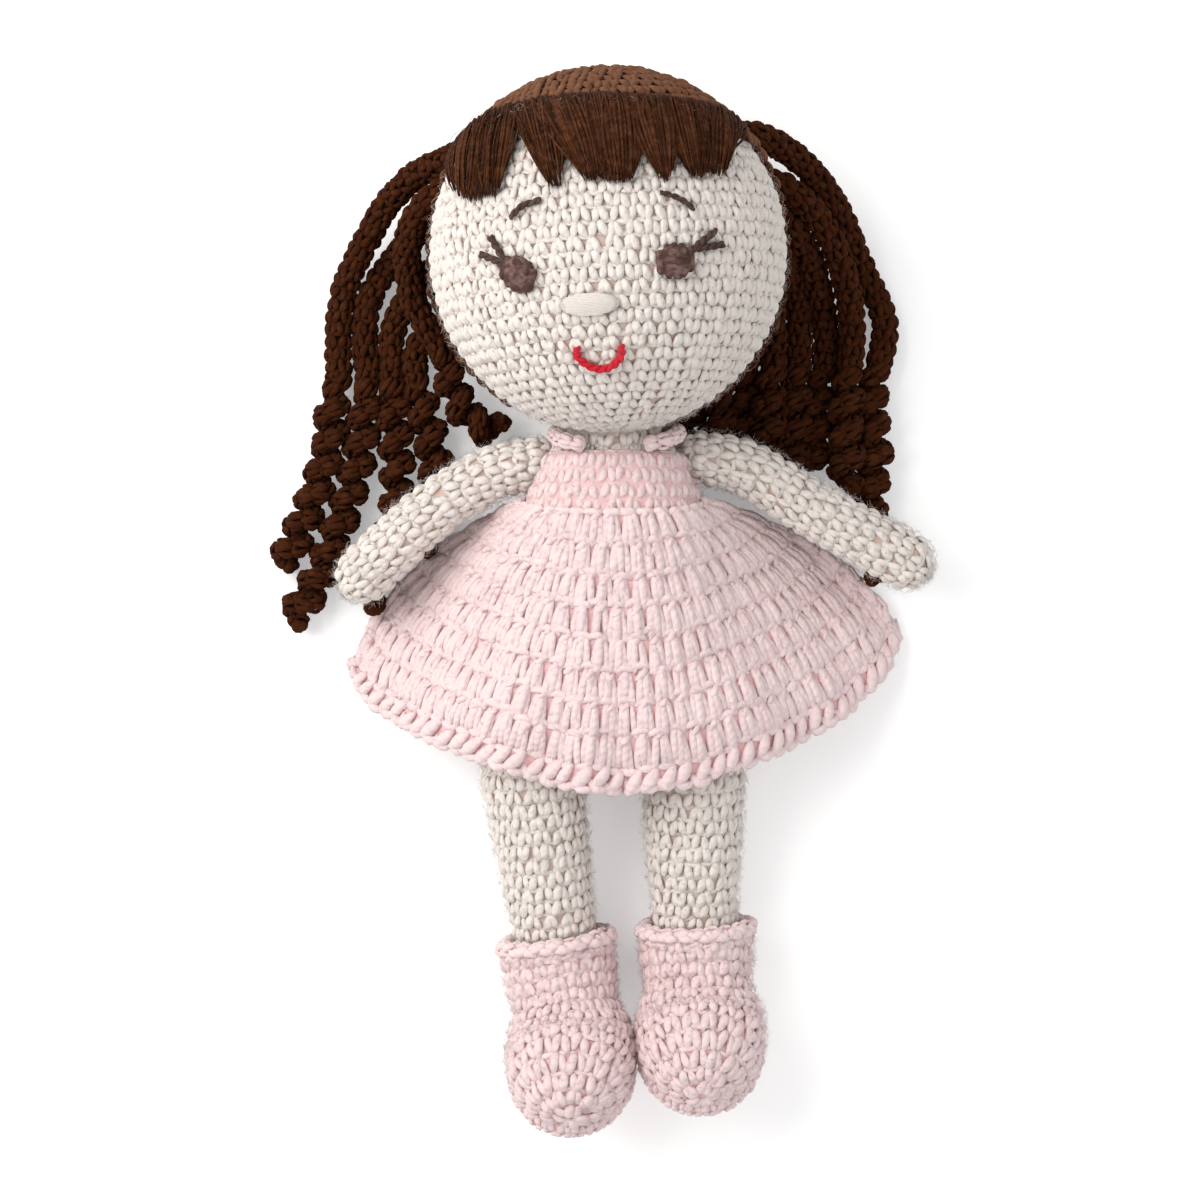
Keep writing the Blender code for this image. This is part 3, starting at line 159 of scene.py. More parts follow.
def carried_frames(centres: Array) -> tuple[Array, Array, Array]:
    """Direction, across and up at each centre, carried along the line with no twist."""
    ahead = unit(np.gradient(centres, axis=0))
    first = np.cross((0.0, 0.0, 1.0), ahead[0])
    if np.linalg.norm(first) < 0.2:
        first = np.cross((1.0, 0.0, 0.0), ahead[0])
    across = [unit(first)]
    for step in ahead[1:]:
        across.append(unit(across[-1] - step * np.dot(across[-1], step)))
    across = np.array(across)
    return ahead, across, np.cross(ahead, across)


class Surface:
    """A skin that stitches are laid on: point(u, v), and the core that its normal points away from."""

    def point(self, u: Array, v: Array) -> Array:
        """Where u, v lies."""
        raise NotImplementedError

    def core(self, u: Array, v: Array) -> Array:
        """A point inside the skin near u, v."""
        raise NotImplementedError

    def laid(self, u: Array, v: Array) -> tuple[Array, Array]:
        """Points and outward normals: the cross product of small steps along u and v, turned from the core."""
        step = 1e-3
        here = self.point(u, v)
        along_u = self.point(u + step, v) - self.point(u - step, v)
        low, high = np.clip(v - step, 0, 1), np.clip(v + step, 0, 1)
        across = np.cross(along_u, self.point(u, high) - self.point(u, low))
        away = here - self.core(u, v)
        normal = unit(across)
        normal *= np.where(np.sum(normal * away, axis=-1, keepdims=True) < 0, -1.0, 1.0)
        bad = np.linalg.norm(across, axis=-1, keepdims=True) < 1e-14
        return here, np.where(bad, unit(away), normal)


@dataclass
class Ball(Surface):
    """A ball whose rounds go about its pole axis: v 0 at the crown, v 1 at the far pole."""

    centre: Array
    radius: float
    pole: Point

    def axes(self) -> tuple[Array, Array, Array]:
        """Across, out and pole directions."""
        pole = unit(np.array(self.pole))
        across = unit(np.cross(pole, (0.0, 0.0, 1.0)))
        return across, np.cross(across, pole), pole

    def point(self, u: Array, v: Array) -> Array:
        """The centre and the radius along pole cos(down) + around sin(down)."""
        across, out, pole = self.axes()
        down, turn = np.pi * np.asarray(v)[..., None], TAU * np.asarray(u)[..., None]
        around = across * np.sin(turn) + out * np.cos(turn)
        return self.centre + self.radius * (pole * np.cos(down) + around * np.sin(down))

    def core(self, u: Array, v: Array) -> Array:
        """The centre."""
        return self.centre + 0 * self.point(u, v)


class Limb(Surface):
    """A round skin along a line of (x, y, z, radius) with domed ends: u goes round, v along by length."""

    def __init__(self, line: Rows, shrink: float = 0.0, count: int = 60) -> None:
        """Rings across the smooth line, and quarter circles of shrinking rings past either end.

        Args:
            line: rows of centre and radius.
            shrink: how much thinner than the line's radii the skin is.
            count: how many rings lie along the line.
        """
        rows = smooth_line(line, count)
        centres, radii = rows[:, :3], np.maximum(rows[:, 3] - shrink, 1e-5)
        ahead, across, up = carried_frames(centres)
        bend = np.linspace(0, np.pi / 2, DOME_RINGS + 1)[1:]
        rise, fall = np.sin(bend)[:, None], np.cos(bend)
        back = centres[0] - ahead[0] * radii[0] * rise[::-1]
        on = centres[-1] + ahead[-1] * radii[-1] * rise
        centres = np.vstack([back, centres, on])
        radii = np.concatenate([radii[0] * fall[::-1], radii, radii[-1] * fall])
        across, up = (np.pad(way, ((DOME_RINGS, DOME_RINGS), (0, 0)), mode="edge") for way in (across, up))
        steps = np.hypot(np.linalg.norm(np.diff(centres, axis=0), axis=1), np.diff(radii))
        self.gone = np.concatenate([[0], np.cumsum(steps)])
        self.length = float(self.gone[-1])
        self.rows = np.hstack([centres, radii[:, None], across, up])

    def at(self, v: Array) -> Array:
        """The row of centre, radius, across and up at v."""
        place = np.clip(v, 0, 1) * self.length
        return np.stack([np.interp(place, self.gone, self.rows[:, i]) for i in range(10)], axis=-1)

    def point(self, u: Array, v: Array) -> Array:
        """The centre and the radius along across cos(turn) + up sin(turn)."""
        u, v = np.broadcast_arrays(u, v)
        row, turn = self.at(v), TAU * u[..., None]
        return row[..., :3] + row[..., 3:4] * (row[..., 4:7] * np.cos(turn) + row[..., 7:10] * np.sin(turn))

    def core(self, u: Array, v: Array) -> Array:
        """The line's nearest point away from its ends."""
        return self.at(np.clip(np.broadcast_arrays(u, v)[1], 0.12, 0.88))[..., :3]

    def cells(self, height: float, width: float, slip: float = -0.2) -> "Cells":
        """Even rounds of stitches from end to end."""
        edges = np.linspace(0, 1, max(3, round(self.length / height)) + 1)
        girths = [TAU * float(self.at(0.5 * (a + b))[3]) for a, b in zip(edges, edges[1:])]
        return rounds(edges, girths, width, slip)


@dataclass
class Formula(Surface):
    """A skin given by two functions of u and v."""

    where: Callable[[Array, Array], Array]
    inner: Callable[[Array, Array], Array]

    def point(self, u: Array, v: Array) -> Array:
        """The first function's point."""
        return self.where(*(np.array(a, float) for a in np.broadcast_arrays(u, v)))

    def core(self, u: Array, v: Array) -> Array:
        """The second function's point."""
        return self.inner(*(np.array(a, float) for a in np.broadcast_arrays(u, v)))


# Meshes.


@dataclass
class MeshData:
    """Vertices, faces as groups of equal size, and each corner's uv and vertex's lift."""

    verts: Array
    faces: list[Array]
    uvs: list[Array]
    lift: Array

    @classmethod
    def plain(cls, verts: Array, faces: Sequence[Array], lift: float) -> "MeshData":
        """A mesh with no uv, and one lift all over."""
        return cls(verts, list(faces), [np.zeros(f.shape + (2,)) for f in faces], np.full(len(verts), lift))

    def joined(self, other: "MeshData") -> "MeshData":
        """This mesh and another as one."""
        faces = self.faces + [f + len(self.verts) for f in other.faces]
        verts = np.vstack([self.verts, other.verts])
        return MeshData(verts, faces, self.uvs + other.uvs, np.concatenate([self.lift, other.lift]))

    def above_table(self, gap: float = TABLE_GAP) -> "MeshData":
        """This mesh with nothing lower than the gap over the table."""
        self.verts[:, 2] = np.maximum(self.verts[:, 2], gap)
        return self

    def area(self) -> float:
        """The whole surface's area, by triangles that fan from each face's first corner."""
        total = 0.0
        for faces in self.faces:
            for i in range(1, faces.shape[1] - 1):
                a, b, c = (self.verts[faces[:, k]] for k in (0, i, i + 1))
                total += float(np.linalg.norm(np.cross(b - a, c - a), axis=1).sum() / 2)
        return total


def ring_quads(rows: int, around: int, first: int = 0, closed: bool = False) -> Array:
    """Faces between rings of points: a point, its neighbour, and the two over them.

    Args:
        rows: how many bands of faces there are.
        around: points in each ring.
        first: the number of the first ring's first point.
        closed: whether the last band ends on the first ring.

    Returns:
        The faces' points.
    """
    i, row = np.arange(around), np.arange(rows)[:, None]
    j = (i + 1) % around
    low, high = first + row * around, first + ((row + 1) % rows if closed else row + 1) * around
    return np.stack([low + i, low + j, high + j, high + i], axis=-1).reshape(-1, 4)


def capped_rings(rings: int, around: int) -> tuple[Array, Array]:
    """Quads between rings, and triangles that close them on a point before and a point after."""
    i = np.arange(around)
    j, last = (i + 1) % around, 1 + (rings - 1) * around
    near, far = np.stack([0 * i, 1 + j, 1 + i], 1), np.stack([0 * i + last + around, last + i, last + j], 1)
    return ring_quads(rings - 1, around, 1), np.vstack([near, far])


def inside_out(verts: Array, quads: Array, caps: Array | None = None) -> bool:
    """Whether the closed faces enclose a volume below zero."""
    tri = np.vstack([quads[:, [0, 1, 2]], quads[:, [0, 2, 3]]] + ([] if caps is None else [caps]))
    return bool(np.sum(verts[tri[:, 0]] * np.cross(verts[tri[:, 1]], verts[tri[:, 2]])) < 0)


def skin_mesh(surface: Surface, around: int, rows: int, lift: float = 0.0) -> MeshData:
    """The surface itself as a closed mesh: rings round it, and one vertex at each end."""
    v, u = np.meshgrid(np.linspace(0, 1, rows + 1), np.arange(around) / around, indexing="ij")
    ring = surface.point(u, v)
    verts = np.vstack([ring[0].mean(axis=0), ring[1:-1].reshape(-1, 3), ring[-1].mean(axis=0)])
    quads, caps = capped_rings(rows - 1, around)
    if inside_out(verts, quads, caps):
        quads, caps = quads[:, ::-1], caps[:, ::-1]
    # A low lift paints the skin in the finish's shade colour: painted shade that shows between the stitches.
    return MeshData.plain(verts, (quads, caps), lift)


def dome_mesh(top: Array, away: Array) -> MeshData:
    """A low closed dome from rings of points, its underside sunk to one point below its middle."""
    sunk, lift = 0.0022, 0.25
    middle = top[0].mean(axis=0)
    verts = np.vstack([middle, top[1:].reshape(-1, 3), middle - away[0, 0] * sunk])
    quads, caps = capped_rings(len(top) - 1, top.shape[1])
    return MeshData.plain(verts, (quads[:, [0, 3, 2, 1]], caps[:, [0, 2, 1]]), lift)


def shell_of(outer: Array, inner: Array, quads: Array, lift: float = 0.0) -> MeshData:
    """A closed thin shell: the outer faces, the inner ones turned round, and walls along their free edges."""
    used, index = np.unique(quads, return_inverse=True)
    quads = index.reshape(quads.shape)
    n = len(used)
    edges = np.concatenate([quads[:, [i, (i + 1) % 4]] for i in range(4)])
    _, first, count = np.unique(np.sort(edges, axis=1), axis=0, return_index=True, return_counts=True)
    rim = edges[first[count == 1]]
    side = np.stack([rim[:, 1], rim[:, 0], rim[:, 0] + n, rim[:, 1] + n], axis=1)
    faces = np.vstack([quads, quads[:, ::-1] + n, side])
    return MeshData.plain(np.vstack([outer[used], inner[used]]), (faces,), lift)


def sweep(paths: Array, radii: Array, normals: Array, sides: int, flat: float, seed: int) -> MeshData:
    """Closed tubes along many paths at once: each ring stands across its path, squeezed along the normal.

    Args:
        paths: the centres, by tube and step.
        radii: the radius at each centre.
        normals: the skin's outward direction at each centre.
        sides: corners of each ring.
        flat: the ring's height as a share of its width.
        seed: sets how far along the twist each tube starts.

    Returns:
        The tubes, with the length and the turn as uv, and a lift that grows with height and thickness; the lift paints
        shade on each tube's underside and thin ends.
    """
    n, k, _ = paths.shape
    ahead = unit(np.gradient(paths, axis=1))
    side = unit(np.cross(ahead, normals))
    up = np.cross(side, ahead)
    turn = TAU * np.arange(sides) / sides
    ring = side[:, :, None, :] * np.cos(turn)[:, None] + up[:, :, None, :] * (flat * np.sin(turn))[:, None]
    verts = (paths[:, :, None, :] + radii[:, :, None, None] * ring).reshape(-1, 3)
    tube = np.arange(n)[:, None] * k * sides
    quads = (tube[:, :, None] + ring_quads(k - 1, sides)[None]).reshape(-1, 4)
    corner = np.arange(sides)[None, :]
    caps = np.vstack([tube + corner[:, ::-1], tube + (k - 1) * sides + corner])
    length = np.cumsum(np.linalg.norm(np.diff(paths, axis=1), axis=2), axis=1)
    length = np.concatenate([np.zeros((n, 1)), length], axis=1)
    length += np.random.default_rng(seed).uniform(0, 0.05, (n, 1))
    along = np.stack([length[:, :-1], length[:, :-1], length[:, 1:], length[:, 1:]], axis=-1)[:, :, None, :]
    about = (np.arange(sides)[:, None] + np.array((0, 1, 1, 0))) / sides
    uv = np.stack(np.broadcast_arrays(along, about[None, None]), axis=-1).reshape(-1, 4, 2)
    swell = (radii / np.maximum(radii.max(axis=1, keepdims=True), 1e-9))[:, :, None]
    # Painted shade: each ring's lower side and the tube's thinner parts get a low lift, its top a high one.
    lift = (0.6 * (0.5 + 0.5 * np.sin(turn)) + 0.4 * swell).reshape(-1)
    return MeshData(verts, [quads[:, ::-1], caps[:, ::-1]], [uv[:, ::-1], np.zeros(caps.shape + (2,))], lift)


# Finishes.


def set_inputs(tree: bpy.types.NodeTree, node: bpy.types.Node, inputs: dict) -> None:
    """Give each named input a value, or a link from another node's output."""
    for name, value in inputs.items():
        if isinstance(value, bpy.types.NodeSocket):
            tree.links.new(value, node.inputs[name])
        else:
            node.inputs[name].default_value = value


def add_node(tree: bpy.types.NodeTree, kind: str, inputs: dict | None = None, **settings: object) -> bpy.types.Node:
    """Add a node to a tree.

    Args:
        tree: the material's or the sky's nodes.
        kind: the node's type, less its first word.
        inputs: a value or another node's output for each input.
        settings: the node's own settings, which come before its inputs.

    Returns:
        The new node.
    """
    node = tree.nodes.new("ShaderNode" + kind)
    for name, value in settings.items():
        setattr(node, name, value)
    set_inputs(tree, node, inputs or {})
    return node


@dataclass(frozen=True)
class YarnFinish:
    """Matt spun yarn with twisted plies and loose fibres: its lit colour on the crests, and painted shade in its
    hollows.
    """

    name: str
    slot: Slot
    # The first colour is the yarn as lit on its crests; the second is painted shade for its hollows, undersides and the
    # skins below the stitches.
    light: Point
    painted_shade: Point
    mottle: Point
    mottle_share: float = 0.25
    roughness: float = 0.92
    sheen: float = 0.25
    ply_bump: float = 0.55
    shine: float = 0.2
    hollow_lift: float = 0.12
    crest_lift: float = 0.62
    spots: float = 420.0
    fibres: Point = (210.0, 13.0, 1.0)
    twists: Point = (300.0, 1.05, 0.0)
    twist_depth: float = 0.00026
    fibre_depth: float = 0.00034

    def make(self) -> bpy.types.Material:
        """The finish as a node material: the colour follows the lift attribute, and the bump the uv."""
        made = bpy.data.materials.get(self.name)
        if made:
            return made
        made = bpy.data.materials.new(self.name)
        made.use_nodes = True
        tree = made.node_tree
        place = add_node(tree, "TexCoord").outputs
        set_inputs(tree, tree.nodes["Principled BSDF"], {
            "Roughness": self.roughness, "Specular IOR Level": self.shine, "Sheen Weight": self.sheen,
            "Sheen Roughness": 0.6, "Base Color": self.colour(tree, place), "Normal": self.bumps(tree, place)})
        return made

    def colour(self, tree: bpy.types.NodeTree, place: bpy.types.bpy_prop_collection) -> bpy.types.NodeSocket:
        """From the painted shade to the lit colour by the lift, then mottled by noise."""
        lift = add_node(tree, "Attribute", attribute_name="lift")
        ramp = add_node(tree, "ValToRGB", {"Fac": lift.outputs["Fac"]})
        shades = ((self.hollow_lift, self.painted_shade), (self.crest_lift, self.light))
        for element, (position, shade) in zip(ramp.color_ramp.elements, shades):
            element.position, element.color = position, (*shade, 1)
        spots = add_node(tree, "TexNoise", {"Scale": self.spots, "Detail": 3.0, "Vector": place["Object"]})
        spread = add_node(tree, "MapRange", {
            "From Min": 0.45, "From Max": 0.70, "To Max": self.mottle_share, "Value": spots.outputs["Fac"]})
        mix = add_node(tree, "Mix", {
            "B": (*self.mottle, 1), "Factor": spread.outputs["Result"], "A": ramp.outputs["Color"]}, data_type="RGBA")
        return mix.outputs["Result"]

    def bumps(self, tree: bpy.types.NodeTree, place: bpy.types.bpy_prop_collection) -> bpy.types.NodeSocket:
        """Bands across the uv for the twisted plies, then noise drawn out along it for the fibres."""
        turn = add_node(tree, "Mapping", {"Scale": self.twists, "Vector": place["UV"]})
        twist = add_node(tree, "TexWave", {"Scale": 1.0, "Distortion": 1.2, "Vector": turn.outputs["Vector"]},
                         wave_type="BANDS", bands_direction="DIAGONAL")
        stretch = add_node(tree, "Mapping", {"Scale": self.fibres, "Vector": place["UV"]})
        plies = add_node(tree, "TexNoise", {"Scale": 1.0, "Detail": 4.0, "Vector": stretch.outputs["Vector"]})
        first = add_node(tree, "Bump", {
            "Strength": self.ply_bump, "Distance": self.twist_depth, "Height": twist.outputs["Fac"]})
        second = add_node(tree, "Bump", {
            "Strength": self.ply_bump, "Distance": self.fibre_depth, "Height": plies.outputs["Fac"],
            "Normal": first.outputs["Normal"]})
        return second.outputs["Normal"]


# Each finish: the lit crest colour, the painted shade for hollows and undersides, then a random mottle colour and its
# share.
CREAM = YarnFinish("cream yarn", Slot.CREAM, (0.84, 0.77, 0.715), (0.62, 0.47, 0.40), (0.89, 0.84, 0.80), 0.2)
PINK = YarnFinish("pink yarn", Slot.PINK, (0.89, 0.700, 0.700), (0.80, 0.42, 0.42), (0.93, 0.82, 0.82), 0.3)
BROWN = YarnFinish("brown yarn", Slot.BROWN, (0.175, 0.072, 0.036), (0.045, 0.015, 0.007), (0.30, 0.145, 0.078),
                   0.4, 0.95, 0.05, shine=0.05)
NOSE_CREAM = YarnFinish("smooth cream yarn", Slot.CREAM, (0.79, 0.72, 0.66), (0.66, 0.56, 0.50), (0.84, 0.79, 0.75),
                        0.2, 0.8, 0.25, 0.35)
HAIR_BROWN = YarnFinish("dark brown hair yarn", Slot.BROWN, (0.050, 0.0130, 0.0042), (0.009, 0.0022, 0.0008),
                        (0.12, 0.040, 0.013), 0.35, 0.95, 0.01, shine=0.03)
FRINGE_BROWN = YarnFinish("fringe yarn", Slot.BROWN, (0.082, 0.025, 0.009), (0.016, 0.004, 0.001),
                          (0.19, 0.072, 0.030), 0.45, 0.9, 0.02, shine=0.05)
LOOSE_FIBRE = YarnFinish("loose pale fibre", Slot.FIBRE, (0.42, 0.36, 0.34), (0.30, 0.25, 0.23), (0.50, 0.46, 0.45),
                         0.3, 0.9, 0.1)
EYE_BROWN = YarnFinish("mottled brown yarn", Slot.DARK_BROWN, (0.085, 0.045, 0.038), (0.010, 0.005, 0.005),
                       (0.27, 0.165, 0.145), 0.9, 0.95, 0.02, shine=0.1)
LASH_BROWN = YarnFinish("dark lash yarn", Slot.BROWN, (0.070, 0.040, 0.034), (0.018, 0.009, 0.008),
                        (0.16, 0.10, 0.085), 0.5, 0.95, 0.03)
RED = YarnFinish("red yarn", Slot.RED, (0.60, 0.014, 0.030), (0.20, 0.002, 0.006), (0.72, 0.10, 0.11), 0.25, 0.9, 0.05)
FIBRE = YarnFinish("stuffing fibre", Slot.FIBRE, (0.88, 0.88, 0.86), (0.80, 0.80, 0.78), (0.92, 0.92, 0.92))


def linked(name: str, data: bpy.types.ID | None) -> bpy.types.Object:
    """A new object in the scene."""
    made = bpy.data.objects.new(name, data)
    bpy.context.scene.collection.objects.link(made)
    return made


def make_piece(name: str, data: MeshData, finish: YarnFinish) -> bpy.types.Object:
    """One mesh object from the arrays, shaded smooth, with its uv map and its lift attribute.

    Args:
        name: the object's name.
        data: the mesh's arrays.
        finish: the yarn that it is made of.

    Returns:
        The object.
    """
    mesh = bpy.data.meshes.new(name)
    sizes = np.concatenate([np.full(len(f), f.shape[1]) for f in data.faces])
    corners = np.concatenate([f.reshape(-1) for f in data.faces])
    mesh.vertices.add(len(data.verts))
    mesh.vertices.foreach_set("co", data.verts.astype(np.float32).ravel())
    mesh.loops.add(len(corners))
    mesh.loops.foreach_set("vertex_index", corners.astype(np.int32))
    mesh.polygons.add(len(sizes))
    mesh.polygons.foreach_set("loop_start", np.concatenate([[0], np.cumsum(sizes)[:-1]]).astype(np.int32))
    mesh.polygons.foreach_set("loop_total", sizes.astype(np.int32))
    mesh.polygons.foreach_set("use_smooth", np.ones(len(sizes), bool))
    mesh.update(calc_edges=True)
    layer = mesh.uv_layers.new(name="UVMap")
    layer.data.foreach_set("uv", np.concatenate([u.reshape(-1) for u in data.uvs]).astype(np.float32))
    lift = mesh.attributes.new("lift", "FLOAT", "POINT")
    lift.data.foreach_set("value", data.lift.astype(np.float32))
    mesh.materials.append(finish.make())
    made = linked(name, mesh)
    LOG.info("%s: %d faces", name, len(sizes))
    return made


# Stitches.


@dataclass(frozen=True)
class Stitch:
    """One stitch's yarn as strokes: each point is (across, along, height in mm, radius in mm) of its cell."""

    strokes: tuple[tuple[tuple[float, float, float, float], ...], ...]
    sides: int = 5
    flat: float = 0.62
    steps: int = 6

    def strokes_array(self) -> Array:
        """The strokes as one array: cubic pieces, each stroke read at the same number of even shares."""
        read = []
        for stroke in self.strokes:
            t = np.linspace(0, len(stroke) - 1, self.steps)
            i = np.clip(t.astype(int), 0, len(stroke) - 2)
            read.append(cubic(with_ends(np.array(stroke)), i, (t - i)[:, None]))
        return np.stack(read)


SINGLE = Stitch((
    ((-0.42, -0.50, -0.30, 0.72), (-0.34, -0.22, 0.16, 1.22), (-0.25, 0.05, 0.30, 1.36), (-0.15, 0.32, 0.06, 1.14),
     (-0.06, 0.57, -0.5, 0.58)),
    ((0.34, -0.48, -0.30, 0.68), (0.30, -0.20, 0.11, 1.14), (0.25, 0.07, 0.24, 1.28), (0.20, 0.32, 0.0, 1.08),
     (0.15, 0.57, -0.5, 0.52)),
    ((-0.50, -0.58, -0.62, 0.78), (-0.15, -0.52, -0.52, 0.90), (0.20, -0.52, -0.52, 0.90), (0.50, -0.58, -0.62, 0.78)),
))
DOUBLE = Stitch((
    ((-0.12, -0.60, -0.1, 0.85), (-0.19, -0.28, 0.75, 1.20), (-0.27, 0.04, 0.95, 1.36), (-0.34, 0.32, 0.7, 1.25),
     (-0.38, 0.62, -0.2, 0.8)),
    ((0.06, -0.62, 0.0, 0.90), (0.04, -0.28, 0.95, 1.25), (0.01, 0.04, 1.15, 1.42), (-0.03, 0.32, 0.85, 1.28),
     (-0.06, 0.64, -0.2, 0.8)),
    ((0.22, -0.60, -0.1, 0.80), (0.27, -0.26, 0.65, 1.15), (0.31, 0.06, 0.80, 1.30), (0.34, 0.32, 0.6, 1.18),
     (0.36, 0.60, -0.2, 0.7)),
    ((-0.30, -0.20, 0.1, 0.45), (-0.12, -0.30, 1.15, 0.85), (0.10, -0.42, 1.15, 0.95), (0.32, -0.54, 0.3, 0.60)),
    ((-0.60, -0.50, 0.1, 0.80), (-0.22, -0.62, 0.80, 1.20), (0.16, -0.62, 0.80, 1.20), (0.56, -0.50, 0.1, 0.80)),
), flat=0.68)
EDGE = Stitch((
    ((-0.60, 0.50, 0.0, 0.7), (-0.24, 0.26, 0.8, 1.55), (0.14, -0.10, 1.0, 1.70), (0.48, -0.52, 0.3, 0.8)),
    ((-0.60, 0.06, 0.0, 0.6), (-0.30, 0.38, 0.6, 1.35), (0.10, 0.50, 0.6, 1.35), (0.52, 0.32, 0.2, 0.7)),
    ((-0.55, -0.50, 0.0, 0.6), (-0.18, -0.46, 0.4, 1.15), (0.18, -0.44, 0.4, 1.15), (0.55, -0.50, 0.0, 0.6)),
), sides=6, flat=0.7)
CHAIN = Stitch(tuple(
    ((-0.62, 0.05 * way, 0.0, 0.5), (-0.30, 0.34 * way, 0.5, 1.1), (0.10, 0.26 * way, 0.6, 1.15), (0.45, 0.0, 0.1, 0.5))
    for way in (-1, 1)))


@dataclass
class Cells:
    """Where each stitch of a piece goes: its middle and its size in u and v."""

    u: Array
    v: Array
    du: Array
    dv: Array

    def picked(self, kept: Array) -> "Cells":
        """The cells where kept is true."""
        return Cells(self.u[kept], self.v[kept], self.du[kept], self.dv[kept])


def rounds(v_edges: Sequence[float], girths: Sequence[float], width: float, slip: float = -0.2,
           start: float = 0.0) -> Cells:
    """Rows of stitches between the v edges, each with as many as its girth takes.

    Args:
        v_edges: where the rows begin and end.
        girths: each row's length.
        width: a stitch's width.
        slip: how far each row is turned past the last, in stitches.
        start: where the first row begins.

    Returns:
        The stitches' cells.
    """
    made = []
    for row, girth in enumerate(girths):
        low, high = v_edges[row], v_edges[row + 1]
        count = max(4, round(girth / width))
        u = (np.arange(count) + 0.5) / count + (start + slip * row / count)
        made.append([u, *(np.full(count, value) for value in (0.5 * (low + high), 1 / count, high - low))])
    return Cells(*(np.concatenate(column) for column in zip(*made)))


def worked(surface: Surface, cells: Cells, stitch: Stitch, seed: int, scale: float = 1.0,
           keep: Callable[[Array], Array] | None = None) -> MeshData:
    """The stitch laid in every cell of the surface, each a little different by hand.

    Args:
        surface: the skin under the yarn.
        cells: where the stitches go.
        stitch: the strokes of one stitch.
        seed: sets the small differences.
        scale: the yarn's size against the stitch's own.
        keep: tells which places are worked.

    Returns:
        The yarn.
    """
    wander, least_radius = np.array([0.065, 0.065, 0.12, 0.085]), 0.12
    rng = np.random.default_rng(seed)
    if keep is not None:
        cells = cells.picked(keep(surface.point(cells.u, cells.v)))
    template = stitch.strokes_array()
    strokes, k, _ = template.shape
    laid = template[None] + rng.normal(0, 1, (len(cells.u), strokes, 1, 4)) * wander
    u = cells.u[:, None, None] + laid[..., 0] * cells.du[:, None, None]
    v = np.clip(cells.v[:, None, None] + laid[..., 1] * cells.dv[:, None, None], 0, 1)
    points, normals = surface.laid(u, v)
    points = points + normals * (laid[..., 2:3] * scale * MM)
    radii = np.maximum(laid[..., 3] * scale, least_radius) * MM
    tubes = (points.reshape(-1, k, 3), radii.reshape(-1, k), normals.reshape(-1, k, 3))
    return sweep(*tubes, stitch.sides, stitch.flat, seed)


def fuzz(surface: Surface, count: int, seed: int, long: float = 0.0022, height: float = 0.0011,
         keep: Callable[[Array], Array] | None = None, v_range: tuple[float, float] = (0.0, 1.0)) -> MeshData:
    """Loose fibres that stand off the yarn: thin curved hairs, leaning every way.

    Args:
        surface: the skin under the yarn.
        count: how many fibres are tried.
        seed: sets their places and leans.
        long: a fibre's usual length.
        height: how far over the skin they start.
        keep: tells which places have fibres.
        v_range: the least and greatest v.

    Returns:
        The fibres.
    """
    rng = np.random.default_rng(seed)
    u, v = rng.uniform(0, 1, count), rng.uniform(*v_range, count)
    if keep is not None:
        kept = keep(surface.point(u, v))
        u, v = u[kept], v[kept]
    points, normals = surface.laid(u, v)
    across = unit(np.cross(normals, rng.normal(0, 1, points.shape)))
    bend = unit(np.cross(normals, across))
    taper = np.array([0.045, 0.036, 0.02]) * MM
    t = np.linspace(0, 1, len(taper))[None, :, None]
    reach, rise, curve = (rng.uniform(low, high, len(points))[:, None, None]
                          for low, high in ((0.5, 1.3), (0.2, 0.7), (-0.5, 0.5)))
    way = across[:, None] * t * (1 - rise * 0.4) + normals[:, None] * rise * t + bend[:, None] * curve * t**2
    paths = (points + normals * height)[:, None] + long * reach * way
    radii = np.broadcast_to(taper, paths.shape[:2])
    data = sweep(paths, radii, np.repeat(normals[:, None], len(taper), axis=1), 3, 1.0, seed)
    data.lift = np.ones(len(data.verts))
    return data


def even_edges(surface: Surface, low: float, high: float, height: float) -> Array:
    """The v edges of rows that are equally tall along the surface, on average round it."""
    v, u = np.meshgrid(np.linspace(low, high, 121), np.arange(12) / 12, indexing="ij")
    steps = np.linalg.norm(np.diff(surface.point(u, v), axis=0), axis=2).mean(axis=1)
    gone = np.concatenate([[0], np.cumsum(steps)])
    return np.interp(np.linspace(0, gone[-1], max(3, round(gone[-1] / height)) + 1), gone, v[:, 0])


# The doll's sizes, in metres in the part's frame.

SHIFT = np.array((-0.0005, 0.0022, 0.0))
HEAD_RADIUS = 0.0482
CAP_RADIUS = 0.0507
HEAD_CENTRE = np.array((-0.0069, 0.0940, 0.0502)) + SHIFT
HEAD_POLE = (-0.060, 1.0, 0.0)
STITCH_WIDTH = 0.0048
STITCH_HEIGHT = 0.0040
YARN_DEPTH = 0.0006
SKIN_DEPTH = 0.0011


def placed(points: Rows) -> Array:
    """Points of the doll's plan moved into the part's frame."""
    rows = np.array(points, float)
    rows[:, :3] += SHIFT
    return rows


def read_off(table: Array, at: Array, column: int = 1) -> Array:
    """A table's column, read between its rows where the first column is at."""
    return np.interp(at, table[:, 0], table[:, column])


def head_point(across: float, up: float, radius: float = HEAD_RADIUS) -> Array:
    """The point on the face's side of the head's ball."""
    return HEAD_CENTRE + np.array((across, up, math.sqrt(max(radius**2 - across**2 - up**2, 0.0))))


def on_head(plan: Array, radius: float) -> Array:
    """Outward normals at points of the face's plan: the depth is the root of radius squared less theirs."""
    out = np.sqrt(np.maximum(radius**2 - (plan**2).sum(axis=-1), 1e-9))
    return unit(np.concatenate([plan, out[..., None]], axis=-1))


